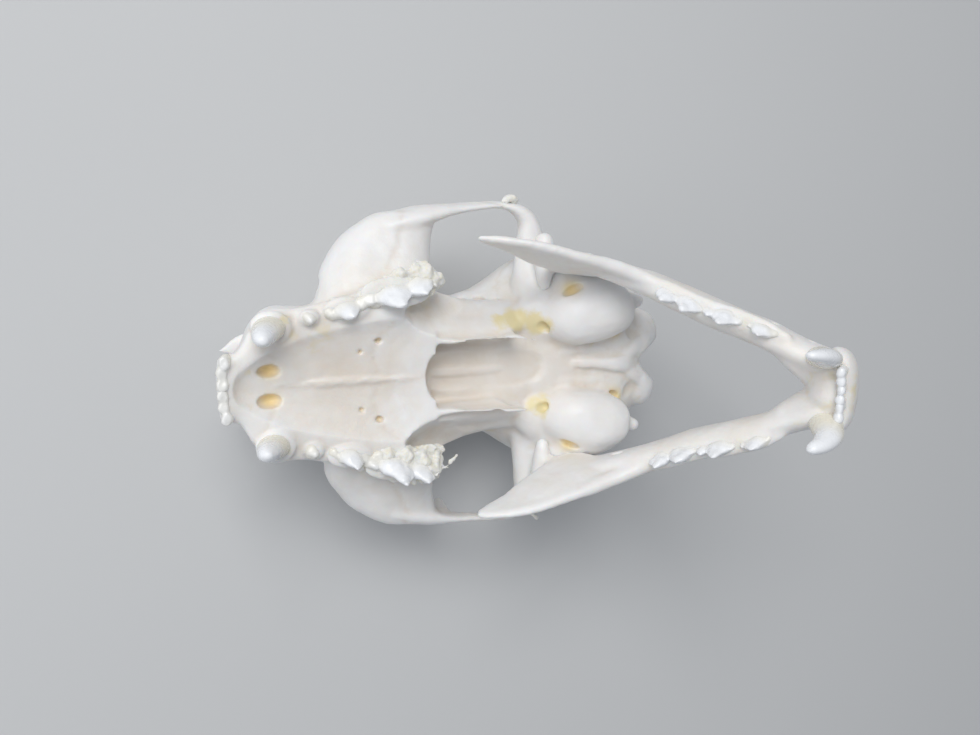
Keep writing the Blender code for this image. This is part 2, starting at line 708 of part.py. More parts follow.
def upper_teeth():
    """Steps that make every upper tooth."""
    steps = []
    for side in (1, -1):
        for shape in UPPER_TEETH.values():
            steps.append(tooth_step(*shape, -1, skull_point, side))
        upright = dict(side=side, up=(1, 0, 0), steps=1, power=2)
        steps.append(once(add_sweep, UPPER_CANINE_PATH, sides=8, **upright))
        for u, y, height in UPPER_INCISORS:
            path = incisor_path(u, y, -height, UPPER_INCISOR_PATH)
            steps.append(once(add_sweep, path, sides=6, **upright))
    return steps


def lower_teeth(side):
    """Steps that make the lower teeth of one side."""
    steps = []
    for shape in LOWER_TEETH.values():
        steps.append(tooth_step(*shape, 1, jaw_point, side))
    upright = dict(side=side, place=jaw_point, up=(1, 0, 0), steps=1, power=2)
    steps.append(once(add_sweep, LOWER_CANINE_PATH, sides=8, **upright))
    for a, y, height in LOWER_INCISORS:
        path = incisor_path(a, y, height, LOWER_INCISOR_PATH)
        steps.append(once(add_sweep, path, sides=6, **upright))
    return steps


def add_far_half(bm, side):
    """A block that fills everything past half a gap from the midline, on a jaw's far side."""
    near, far, reach = side * GAP / 2, -side * 10, 80
    add_box(bm, (-reach, near, -reach), (reach, far, reach))


def make_jaw(side, name):
    """One half of the jaw with its teeth."""
    half = build(
        name,
        once(add_sweep, JAW_BODY_PATH, side=side, place=jaw_point),
        once(add_sweep, CORONOID_PATH, side=side, place=jaw_point, up=(1, 0, 0)),
        once(add_sweep, JAW_CONDYLE_PATH, side=side, place=jaw_point),
        once(add_sweep, JAW_NECK_PATH, side=side, place=jaw_point),
        once(add_blob, CHIN_CENTRE, CHIN_RADII, side=side, place=jaw_point),
    )
    fuse(half, FINE_VOXEL, 3)
    carve(half, [once(add_blob, MASSETER_CENTRE, MASSETER_RADII, side=side, place=jaw_point)])
    fuse(half, FINE_VOXEL, 1)
    thin_out(half, JAW_TRIANGLES)
    for step in lower_teeth(side):
        combine(half, build("tooth", step), "UNION")
    carve(half, [once(add_far_half, side)])
    return half


def bone_finish(name, colour, roughness):
    """A matte bone finish for one part."""
    finish = bpy.data.materials.new(name)
    finish.use_nodes = True
    shader = finish.node_tree.nodes["Principled BSDF"]
    shader.inputs["Base Color"].default_value = colour
    shader.inputs["Roughness"].default_value = roughness
    shader.inputs["Metallic"].default_value = 0.0
    return finish


def bodies(made):
    """The separate closed bodies of a mesh, each as a set of face numbers, largest first."""
    bm = bmesh.new()
    bm.from_mesh(made.data)
    bm.faces.ensure_lookup_table()
    unseen = set(range(len(bm.faces)))
    groups = []
    while unseen:
        waiting = [unseen.pop()]
        group = set(waiting)
        while waiting:
            for edge in bm.faces[waiting.pop()].edges:
                for face in edge.link_faces:
                    if face.index in unseen:
                        unseen.discard(face.index)
                        group.add(face.index)
                        waiting.append(face.index)
        groups.append(group)
    bm.free()
    return sorted(groups, key=len, reverse=True)


def take_body(made, wanted, name):
    """A new object that holds some of the faces of another object's mesh."""
    bm = bmesh.new()
    bm.from_mesh(made.data)
    bm.faces.ensure_lookup_table()
    others = [face for face in bm.faces if face.index not in wanted]
    bmesh.ops.delete(bm, geom=others, context="FACES")
    return new_object(name, bm)


def middle(made):
    """The mean corner of an object's mesh, in millimetres."""
    total = sum((vert.co for vert in made.data.vertices), Vector())
    return total / len(made.data.vertices)


def part_cranium(cranium):
    """Divide the cranium into face, braincase and the two cheek arches with thin cuts."""
    carve(cranium, [
        both_sides(add_slab, (15.0, ARCH_CUT_Y - GAP / 2, -6.0), (62.0, ARCH_CUT_Y + GAP / 2, 17.0)),
        add_face_cut,
    ])
    pieces = {}
    for group in bodies(cranium)[:4]:
        piece = take_body(cranium, group, "piece")
        spot = middle(piece)
        if abs(spot.y) > ARCH_CUT_Y - 2:
            name = "zygomatic_arch_left" if spot.y > 0 else "zygomatic_arch_right"
        else:
            name = "face_and_palate" if spot.x > -FACE_CUT_LOW else "braincase"
        piece.name = name
        pieces[name] = piece
    bpy.data.objects.remove(cranium, do_unlink=True)
    return pieces


def add_slab(bm, low, high, side=1):
    """A thin box on one side, given by two corners on the left."""
    add_box(bm, (low[0], side * low[1], low[2]), (high[0], side * high[1], high[2]))


def add_face_cut(bm):
    """The thin slanting cut between the face and the braincase, narrower than the arch cuts."""
    reach = ARCH_CUT_Y + GAP / 4
    low = FACE_CUT_LOW
    high = FACE_CUT_HIGH
    corners = [(low, -12.0), (low + GAP, -12.0), (high + GAP, 44.0), (high, 44.0)]
    skin_rings(bm, [[skull_point(u, y, z) for u, z in corners] for y in (reach, -reach)])


def bulla_bed():
    """The hollow that each ear capsule is set into, wider than the capsule by the gap."""
    return bulla_step(GAP, BULLA_CUT_Z + GAP / 2)


def make_bulla(side, name):
    """One ear capsule with its ear opening."""
    capsule = build(name, bulla_step(0.0, BULLA_CUT_Z - GAP / 2, sides=(side,)))
    combine(capsule, build("ear", once(add_sweep, EAR_PATH, side=side, sides=10)), "DIFFERENCE")
    return capsule


def finish_piece(made, parent, colour, roughness):
    """Scale a piece to metres, give it its finish and hang it on its parent."""
    made.data.transform(Matrix.Scale(METRE, 4))
    made.data.materials.clear()
    made.data.materials.append(bone_finish(made.name + "_bone", colour, roughness))
    made.data.shade_smooth()
    made.data.set_sharp_from_angle(angle=math.radians(SHARP_ANGLE))
    made.parent = parent


def empty(name, location, angles, parent=None):
    """An empty that places what hangs on it."""
    frame = bpy.data.objects.new(name, None)
    frame.location = location
    frame.rotation_euler = angles
    frame.parent = parent
    bpy.context.scene.collection.objects.link(frame)
    return frame


def cut_at_floor(made, matrix, level):
    """Cut a mesh flat where it would pass below a level of the world, in millimetres."""
    if min((matrix @ vert.co).z for vert in made.data.vertices) > level:
        return
    size = 200.0
    block = matrix.inverted() @ Matrix.Translation((0, 0, level - size / 2)) @ Matrix.Scale(size, 4)
    carve(made, [lambda bm: bmesh.ops.create_cube(bm, size=1.0, matrix=block)])


def world_corners(pieces):
    """Every corner of the pieces in the world, in millimetres; pieces maps objects to matrices."""
    return [matrix @ vert.co for made, matrix in pieces for vert in made.data.vertices]


def main():
    """Model the pieces, lay the skull down and give every piece its finish."""
    clear_scene()
    jaws = [make_jaw(1, "mandible_left"), make_jaw(-1, "mandible_right")]
    cranium = make_cranium()
    thin_out(cranium, CRANIUM_TRIANGLES)
    carve(cranium, [bulla_bed()])
    cranial = part_cranium(cranium)
    for step in upper_teeth():
        combine(cranial["face_and_palate"], build("tooth", step), "UNION")
    bullae = [make_bulla(1, "auditory_bulla_left"), make_bulla(-1, "auditory_bulla_right")]

    tilt = Euler((math.radians(-ROLLED_LEFT_UP), math.radians(180 + MUZZLE_RAISED), math.radians(TURNED)))
    skull_turn = tilt.to_matrix().to_4x4()
    skull_pieces = [(made, skull_turn) for made in list(cranial.values()) + bullae]
    jaw_pieces = [(made, skull_turn @ jaw_turn()) for made in jaws]
    floor = min(corner.z for corner in world_corners(skull_pieces)) + FLAT_DEPTH
    for made, matrix in skull_pieces:
        cut_at_floor(made, matrix, floor)
    corners = world_corners(skull_pieces + jaw_pieces)
    centre_x = (min(corner.x for corner in corners) + max(corner.x for corner in corners)) / 2
    centre_y = (min(corner.y for corner in corners) + max(corner.y for corner in corners)) / 2

    skull_rest = empty("skull_rest", Vector((-centre_x, -centre_y, -floor)) * METRE, tilt)
    hinge_angles = (0, math.radians(JAW_OPEN), 0)
    jaw_hinge = empty("jaw_hinge", Vector((-HINGE_U, HINGE_Y, HINGE_Z)) * METRE, hinge_angles, skull_rest)
    for made in cranial.values():
        finish_piece(made, skull_rest, BONE_COLOUR, 0.5)
    for made in bullae:
        finish_piece(made, skull_rest, BULLA_COLOUR, 0.45)
    for made in jaws:
        finish_piece(made, jaw_hinge, JAW_COLOUR, 0.48)


if __name__ == "__main__":
    main()
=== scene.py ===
"""Cat skull, upside down on its dome with the lower jaw swung open, on a pale studio floor.

Every bone is modelled in millimetres in its own frame and then laid down. In the skull's frame
u runs back from the incisors, y to the animal's left and z up from the palate. The jaw has a
frame of its own, with a running forward from the hinge and b running up.
"""

import math

import bmesh
import bpy
import numpy as np
from bpy.props import FloatProperty, FloatVectorProperty, IntProperty, PointerProperty
from mathutils import Euler, Matrix, Vector, kdtree, noise


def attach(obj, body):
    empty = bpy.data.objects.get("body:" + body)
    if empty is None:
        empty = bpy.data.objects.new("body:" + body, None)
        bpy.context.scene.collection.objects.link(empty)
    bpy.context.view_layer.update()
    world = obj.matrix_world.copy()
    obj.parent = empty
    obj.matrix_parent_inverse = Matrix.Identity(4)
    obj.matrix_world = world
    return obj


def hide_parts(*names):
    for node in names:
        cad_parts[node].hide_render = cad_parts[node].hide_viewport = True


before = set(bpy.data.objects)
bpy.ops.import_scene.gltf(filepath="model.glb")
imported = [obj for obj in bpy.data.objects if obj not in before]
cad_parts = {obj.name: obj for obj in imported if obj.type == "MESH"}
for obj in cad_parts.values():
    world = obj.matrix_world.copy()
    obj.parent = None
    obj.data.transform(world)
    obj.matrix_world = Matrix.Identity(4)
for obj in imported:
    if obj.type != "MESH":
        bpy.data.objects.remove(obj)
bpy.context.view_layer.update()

bl_info = {
    "name": "Cat skull",
    "version": (1, 0, 0),
    "blender": (4, 5, 0),
    "location": "3D View > Sidebar > Skull",
    "description": "Models a cat's skull with its open lower jaw and a studio around it",
    "category": "Add Mesh",
}

MM = 0.001
SIDES = ((1, "left"), (-1, "right"))
# Directions that a limb's height can lean to.
FORWARDS = (1, 0, 0)
UPWARDS = (0, 0, 1)

# How the skull lies, in degrees, and where its frame's zero point stands, in millimetres.
MUZZLE_RAISED = -3.0
ROLLED_LEFT_UP = 9.0
TURNED = 3.04
SKULL_PLACE = (-49.772, -4.572, 33.181)

# The jaw's hinge in the skull's frame, and how far the jaw is open.
HINGE = (59.5, 0.25, 5.6)
JAW_OPEN = 130.15

# The camera in the skull's frame: x forwards, y left and z up in millimetres, and its turn.
CAMERA_PLACE = (-0.11, 24.9, -136.38)
CAMERA_TURN = (170.69, 18.9, 179.87)
CAMERA_LENS = 29.67

# Lofts along u: u, half width, lowest z, highest z, z of the widest level, squareness.
MUZZLE_SECTIONS = [
    (-0.2, 4.3, -1.2, 2.2, 0, 2.6), (1.2, 5.3, -1.5, 5, 0.6, 2.4), (2.8, 5.7, -1.4, 9.6, 1.2, 2.3),
    (4.2, 7.2, -1.2, 15.2, 2, 2.2), (6, 10.6, -0.8, 21.2, 2.6, 2.2),
    (9, 12.9, -0.6, 23.4, 3.6, 2.2), (13, 12.7, -0.2, 25.4, 4.4, 2.2),
    (17.5, 12.8, 0, 27.4, 6, 2.2), (22, 13.4, 0.2, 29.6, 8, 2.2), (26, 13.6, 0.4, 31, 9, 2.2),
]
FOREHEAD_SECTIONS = [
    (22, 10, 8, 29.6, 22, 2.2), (27, 10.2, 6, 31.6, 26, 2.2), (32, 10.6, 5, 33.4, 29, 2.2),
    (37, 12.6, 5, 34.8, 30, 2.1), (42, 12.4, 5, 35.7, 24, 2), (47, 13.2, 6, 36.3, 22, 2),
]
BRAINCASE_SECTIONS = [
    (41, 9.5, 8, 34.4, 20, 2), (45, 13.2, 7.2, 35.8, 18, 2), (50, 14.5, 6.6, 36.5, 18, 2),
    (53.4, 16.4, 6.2, 36.7, 19, 2), (57, 19, 5.9, 36.8, 20, 2.05), (62, 21.3, 5.6, 36.7, 20.5, 2.1),
    (68, 21.2, 5.6, 36, 20, 2.1), (74, 19.6, 5.8, 34.4, 18.5, 2.1),
    (79, 16.4, 6.4, 32.4, 17.5, 2.1), (83, 12.6, 8.6, 30.8, 18, 2.1), (86, 7.4, 14, 29, 22, 2),
]
ALVEOLAR_SECTIONS = [
    (0.1, 5, -1.4, 2.2, 0.2, 4), (1.6, 5.8, -1.4, 2.8, 0.3, 3.4), (3, 5.9, -1.3, 3.2, 0.3, 3),
    (4.2, 7.6, -1.2, 3.5, 0.4, 2.8), (5.4, 10, -1.1, 3.7, 0.5, 2.8),
    (6.8, 12.1, -1.1, 3.9, 0.6, 2.7), (9, 13, -1, 4.1, 0.8, 2.6), (13, 13.1, -0.8, 4.4, 0.8, 2.6),
    (18, 14, -0.8, 5, 0.8, 2.6), (24, 15.6, -0.9, 6, 0.9, 2.8), (30, 17.4, -0.9, 7, 0.9, 3),
    (35.4, 17.6, -0.7, 7, 1.2, 3), (37, 16.4, 0.2, 6, 2, 2.6),
]
# Floor of the orbit, lofted along y: y, front u, back u, lowest z, highest z.
CHEEK_SECTIONS = [
    (11, 17, 37, 0.6, 15), (15, 17.4, 37.4, 1.4, 15), (19, 18.2, 37.9, 3.2, 15.2),
    (22.5, 20.2, 38.2, 4.4, 15.4), (25.5, 22.8, 38.6, 5.2, 15), (28, 26.2, 39.4, 5.8, 13.6),
    (29.3, 29.5, 39.8, 6.6, 12),
]

# Limbs of the skull, as pairs on the left and right: the direction that their height leans to, then
# u, y, z, half thickness and half height.
SKULL_LIMBS = {
    "cheek_arch": ((0, 0.18, 1), [
        (30, 27, 9.6, 1.7, 4.6), (36, 28.4, 9.4, 1.6, 4.4), (41, 29.5, 9.6, 1.1, 3.5),
        (46, 30.2, 10.2, 0.85, 2.9), (50.8, 30.7, 10.6, 0.85, 2.7), (54.9, 30.2, 10.7, 1.2, 2.7),
        (58, 27.6, 10.6, 2.1, 2.6), (58.6, 22.6, 10.5, 3.1, 2.6), (58.6, 17, 10.6, 3.6, 3),
        (59, 13, 11, 3.6, 3.2),
    ]),
    "postorbital_process": ((1, 0, 0), [
        (34.2, 6, 31.4, 2.6, 9), (34.4, 10.8, 31.8, 2.3, 7.2), (35.7, 15, 31.5, 2, 4.6),
        (37.7, 18.8, 30.5, 1.6, 2.7), (39.4, 21.8, 29, 1.2, 1.5), (40.4, 23.8, 27.6, 0.7, 0.7),
    ]),
    "cheek_horn": ((1, 0, 0), [
        (38.4, 29, 10.5, 1.1, 3.6), (40.2, 29.4, 14, 1, 2.6), (41.6, 29.3, 17.2, 0.8, 1.6),
        (42.4, 28.9, 19.8, 0.5, 0.7),
    ]),
    "pterygoid_plate": ((0, 0, 1), [
        (31.5, 8.6, 2, 1.8, 2.2), (35.5, 6.9, 3.2, 0.9, 3.6), (40, 6.3, 3.9, 0.65, 4.2),
        (46, 6.3, 3.6, 0.6, 4), (49.4, 6.2, 3, 0.6, 4.2), (51.2, 6.8, 1.4, 0.55, 3),
        (52.8, 6.6, -0.2, 0.5, 1.8), (54.2, 6, -1.2, 0.45, 1), (55.6, 6.2, -1.8, 0.4, 0.5),
    ]),
    "nape_crest": ((-0.7, 0, 0.7), [
        (70.5, 17.6, 8.2, 1.6, 1.5), (74.5, 17.4, 12.8, 1.4, 1.4), (78.8, 15.2, 18.6, 1.2, 1.2),
        (82.6, 11.2, 23.4, 1.2, 1.2), (85.6, 6, 26.8, 1.2, 1.3), (86.8, 0, 28.2, 1.3, 1.5),
    ]),
    "paroccipital_process": ((0, 1, 0), [
        (77.5, 13, 10.5, 2.2, 3), (78.4, 12.6, 7.2, 1.3, 2), (79, 12, 4, 0.6, 0.9),
    ]),
    "occipital_condyle": ((1, 0, 0), [
        (80.2, 1.2, 7.4, 1.1, 1.1), (81.9, 3.4, 7.8, 1.8, 1.7), (82.9, 5.4, 8.6, 2.4, 2.3),
        (82.4, 7.4, 10.6, 2.5, 2.5), (81.6, 8, 13.4, 2.1, 2.1), (80.8, 7.4, 16.2, 1.2, 1.3),
    ]),
    "palate_wall": ((0, 0, 1), [
        (33.5, 11.4, 5.4, 4.6, 3.4), (38, 10.6, 7.2, 4.4, 3.6), (42, 9.8, 9, 4, 3.8),
        (47, 9.4, 10.6, 3.6, 4.2), (52, 9.4, 11, 3.4, 4.4), (56, 9.6, 12.2, 3, 4.2),
        (60, 9.8, 13.4, 2.4, 3.6),
    ]),
    "plate_slope": ((0, 0.45, 1), [
        (34.6, 9, 4.2, 2.4, 3), (38, 8.6, 5, 2.3, 3.6), (42, 8.3, 5.8, 2.1, 4),
        (46.5, 8.3, 6.6, 2, 4.2), (51.5, 8.6, 7.6, 1.8, 4), (55.5, 9, 9.6, 1.4, 3.2),
    ]),
    "ear_capsule": ((0, 0, 1), [
        (59.4, 8.3, 6.8, 1.8, 1.8), (61.4, 9, 5.7, 4, 3.8), (64.4, 9.7, 4.9, 5.5, 5.5),
        (69.4, 10.7, 4.6, 5.9, 6), (73.8, 11.4, 4.8, 5.2, 5.3), (76, 11.9, 5.2, 3.5, 3.9),
        (78, 12.3, 5.2, 1.4, 1.6),
    ]),
    "ear_capsule_side": ((0, 0, 1), [
        (62, 12.6, 6.4, 2.4, 2.6), (65, 13.2, 5.6, 3.7, 4), (69, 13.9, 5.4, 4.2, 4.5),
        (73, 13.9, 5.8, 3.7, 4), (75.4, 13.2, 6.2, 2.4, 2.8),
    ]),
    "postglenoid_process": ((0, 0, 1), [
        (62.6, 13.2, 7.6, 1, 1.8), (63.1, 15.4, 6.4, 1.1, 2.8), (62.9, 18, 7.4, 1, 2),
        (62.4, 21.4, 8.8, 0.9, 1.4),
    ]),
    "nasal_tip": ((0, 0, 1), [
        (12, 3.4, 21.8, 3.3, 1.8), (8, 4, 20.8, 3.4, 1.5), (5.2, 4.3, 20.1, 2.9, 1.1),
        (3.2, 4.2, 19.8, 1.9, 0.8), (1.6, 3.9, 19.8, 0.9, 0.6), (0.4, 3.7, 19.8, 0.4, 0.35),
    ]),
}
# Bone over the throat passage, which closes the passage towards the brain.
THROAT_ROOF = [
    (33, 0, 9.6, 7, 3.2), (40, 0, 9.8, 7.4, 3.4), (48, 0, 9.8, 7.8, 3.4), (56, 0, 9.4, 7.4, 3.4),
]
# Low ridges laid on the finished bone, on both sides: the same columns as the limbs.
SKULL_RIDGES = [
    [(75.6, 0.1, 6.6, 1.1, 0.8), (79, 2, 6.7, 1.4, 0.9), (82.4, 4.6, 7.2, 1.3, 0.8)],
    [
        (81.4, 2.4, 7.3, 0.9, 1), (82.3, 3.8, 7.5, 1.7, 1.6), (83.1, 5.5, 8.4, 2.3, 2.2),
        (82.8, 7.5, 10.3, 2.5, 2.5), (81.9, 8.2, 13, 2.1, 2.1),
    ],
    [
        (24, 15.2, 1, 0.9, 0.9), (28, 16.2, 1, 1.3, 1), (32, 17.4, 1.2, 1.5, 1.2),
        (36, 17.7, 1.8, 1.2, 1.1),
    ],
    [(0.9, 0, -0.9, 0.9, 0.7), (1, 2.8, -0.9, 0.95, 0.7), (1.7, 4.7, -0.8, 1, 0.7)],
    [(63, 2.6, 6, 0.9, 0.5), (68.2, 3.4, 6, 1.2, 0.8), (73, 3, 6.4, 0.8, 0.5)],
    [
        (33, 12.4, 33.2, 0.8, 0.7), (37.5, 9.6, 33.1, 0.7, 0.6), (42, 8, 32.9, 0.7, 0.6),
        (48, 7, 34.2, 0.6, 0.6), (60, 5, 36.2, 0.5, 0.5), (74, 2.4, 34.3, 0.5, 0.5),
    ],
    [(20, 17, 12.6, 0.6, 0.6), (23, 15.6, 17.6, 0.6, 0.6), (26.6, 13.4, 24, 0.6, 0.6)],
]
# Ridges on the midline: under the palate, in the throat's roof, under the base and behind the dome.
MIDLINE_RIDGES = [
    [
        (9, 0, 1, 0.3, 0.3), (13, 0, 1.35, 0.45, 0.3), (17, 0, 1.4, 0.6, 0.45),
        (26, 0, 1.5, 0.6, 0.5), (32, 0, 1.2, 0.5, 0.4), (35.2, 0, 1.1, 0.4, 0.35),
    ],
    [
        (37, 0, 6.3, 0.9, 0.4), (44, 0, 6.4, 1, 0.45), (50, 0, 6.5, 0.7, 0.35),
        (54, 0, 6.9, 0.3, 0.15),
    ],
    [
        (65.2, 0.4, 6.1, 0.9, 0.5), (67.4, 0.4, 5.7, 1.1, 0.9), (70, 0.2, 5.6, 1.1, 1),
        (74.1, -0.2, 5.8, 1.4, 1.2), (77.4, -0.3, 6.3, 1.9, 1.1), (80.4, -0.2, 7.2, 2.6, 0.6),
    ],
    [(74, 0, 34.6, 0.7, 0.6), (82, 0, 31.4, 0.9, 1), (86.4, 0, 28.6, 1.1, 1.2)],
]

# The palate's vault between the tooth rows, cut out of the bone: u, y, z, half width, half height.
VAULT = [
    (2.2, 0, -2.4, 1.8, 0.8), (3.6, 0, -2.4, 3.4, 2.2), (8, 0, -2.4, 6.4, 3.2),
    (14, 0, -2.4, 9.2, 3.7), (20, 0, -2.4, 10.6, 3.9), (28, 0, -2.4, 12, 3.8),
    (34, 0, -2.4, 12.4, 3.3), (40, 0, -2.4, 12, 3),
]

# The nose's passage and the spinal opening, and the nerve opening under each orbit, as paths.
NOSE_PASSAGE = [
    (-3, 0, 12, 5.6, 8), (5, 0, 12, 5.4, 7.4), (12, 0, 12, 4.4, 6.4), (16, 0, 12, 3, 4.6),
]
SPINAL_OPENING = [
    (90, 0, 12.6, 6.4, 5.4), (84, 0, 13, 6.3, 5.4), (79, 0, 13.4, 5.6, 5), (76, 0, 13.6, 4, 3.6),
]
CHEEK_OPENING = [(16, 17.4, 9.2, 1, 1.8), (21.5, 15, 9.8, 1, 1.8), (26, 14, 10.6, 1, 1.8)]
# The throat passage's mouth behind the palate, as an upright path.
THROAT_MOUTH = [
    (48.4, 0, -9, 6.6, 13.1), (48.4, 0, 0, 6.6, 13.1), (48.4, 0, 2, 6.5, 13.1),
    (48.4, 0, 4, 6, 12.8), (48.4, 0, 5.6, 5, 12), (48.4, 0, 6.5, 3.2, 10.6),
]
# The scoop behind the last molar, which leaves the palate's back edge as a hook.
PALATE_SCOOP = [
    (31.4, 12.5, -1, 0.7, 2.4), (31.9, 12.2, -1, 1.8, 3.8), (32.8, 12.1, -1, 2.6, 5),
    (34.2, 11.8, -1, 3, 5.8), (36.5, 11.1, -1, 3.45, 7.2), (39.5, 10.8, -1, 3.65, 8.8),
    (44, 10.9, -1, 3.8, 10.6), (49, 11.2, -1, 4, 10.4), (52, 11.4, -1, 3.8, 9.4),
    (55, 11.6, -1, 3.2, 8),
]

# Seams between the bones as points u, y, z close to the surface, on the midline and on both sides.
MIDLINE_SEAMS = [
    [
        (9, 0, 24), (20, 0, 29), (30, 0, 33), (40, 0, 35.5), (50, 0, 36.6), (60, 0, 36.9),
        (70, 0, 35.8),
    ],
    [(10, 0, 1), (20, 0, 1.2), (28, 0, 1.2), (35, 0, 1)],
    [(66.4, -5, 5.8), (66.7, 0, 5.8), (66.4, 5, 5.8)],
]
SIDE_SEAMS = [
    [(50, 0, 36.6), (49, 6, 36), (47.5, 10, 34), (46.8, 13, 28), (48, 13.6, 22), (49, 13.5, 17)],
    [(4, 3.6, 20), (12, 3.2, 24.6), (20, 2, 29), (25, 0, 31)],
    [(22.6, 1.6, 29.8), (24.2, 5, 29.6), (25, 9, 27), (24, 12, 23)],
    [(27.4, 0, 1.4), (25.8, 3.4, 1.4), (26.8, 7.6, 1), (29.6, 10.8, 0.5)],
    [(45.4, 30, 13), (48.5, 30.6, 10.8), (52.4, 30.8, 8.2)],
    [(52, 15, 12), (54, 18, 17), (59, 21, 21), (68, 21.4, 20), (75, 18.6, 15)],
    [
        (9.2, 3.8, 1.2), (7.4, 7, 0), (5.6, 9.4, 0), (6.4, 11.4, 6), (8, 11, 14), (11, 8.6, 21),
        (15, 5, 26),
    ],
    [(26, 13.6, 8), (29, 19, 3.6), (31.5, 24, 5), (33, 29, 8)],
]

# Swellings of the base: centre and radii.
BASE_SWELLINGS = [
    ((67.5, 16.6, 8.6), (8, 3.6, 5)), ((61, 10, 7.6), (6.5, 5.5, 3.6)),
    ((63, 16.6, 8.8), (4, 4.6, 3.2)),
]
# Swellings and hollows that are made one by one: centre, radii and the turn in degrees, if any.
ORBITS = [((32.4, 19.3, 21), (12, 11, 12.2), (0, 0, 14)), ((44, 22.6, 22), (8.4, 9.6, 8))]
PAROCCIPITAL_KNOB = ((78.5, 12.4, 4.5), (1.7, 1.6, 1.7))
NAPE_KNOB = ((84.6, 0, 28.4), (4, 1.6, 3.2), (0, 25, 0))
BASE_KEEL = ((68, 0, 8.6), (13, 6, 2.8))
PALATINE_FISSURE = ((8.3, 2.5, 0), (2.1, 1.2, 2.6))
EAR_SLIT = ((64, 14.9, 2.3), (2.3, 0.85, 1.3), (0, 0, -24))
CONDYLE_GROOVE = ((79.3, 6.6, 6.6), (1.7, 2.3, 1.2))
BASE_GROOVE = ((73.4, 3, 7.6), (2.6, 1.2, 1.7), (0, 0, -12))
# Bone that rises round the feet of the upper teeth: centre and radii.
TOOTH_COLLARS = [
    ((8.8, 10, -0.8), (3.4, 2.9, 1)), ((15, 11.4, -0.6), (1.7, 1.5, 0.8)),
    ((21.2, 12.7, -0.6), (3.9, 2.2, 0.8)), ((29.8, 15.4, -0.6), (6.3, 2.7, 0.9)),
]
# Where the base's creases are softened: u, y, z, reach and strength, for both sides.
SOFTENED = [
    (58.5, 17, 8, 6, 1), (60, 9, 5.5, 5, 1), (65, 5, 5.5, 3.6, 0.9), (72, 5, 5.5, 3.6, 0.8),
    (65, 16, 7.5, 5, 1), (73, 15, 8, 5, 0.9), (50, 8, 8, 5, 0.7), (77, 9, 6, 3.4, 0.8),
    (62.5, 15, 6.5, 4, 1), (64.5, 18.5, 8, 4, 1), (42, 11, 10, 5, 0.8),
]

BULK_GRID = 0.8
LIMB_GRID = 0.45
JAW_GRID = 0.5
JAW_FINER = 0.9
# Unevenness of the finished skins: length and depth of each wave, in millimetres.
CRANIUM_WAVES = [(12, 0.28), (5, 0.16), (1.8, 0.06)]
JAW_WAVES = [(5, 0.14), (1.6, 0.05)]
TOOTH_WAVES = [(1.6, 0.28), (0.8, 0.05)]
TISSUE_WAVES = [(1.7, 0.8), (0.8, 0.35), (0.4, 0.12)]
# How far the seams wander, reach and spread and how deep they are sunk, in millimetres.
SEAM_WANDER = 0.5
SEAM_REACH = 0.8
SEAM_SPREAD = 0.38
SEAM_DEPTH = 0.09
# Steps that a span of a seam is followed in, and ripples of its wander to a millimetre.
SEAM_STEPS = 24
SEAM_RIPPLES = 0.9

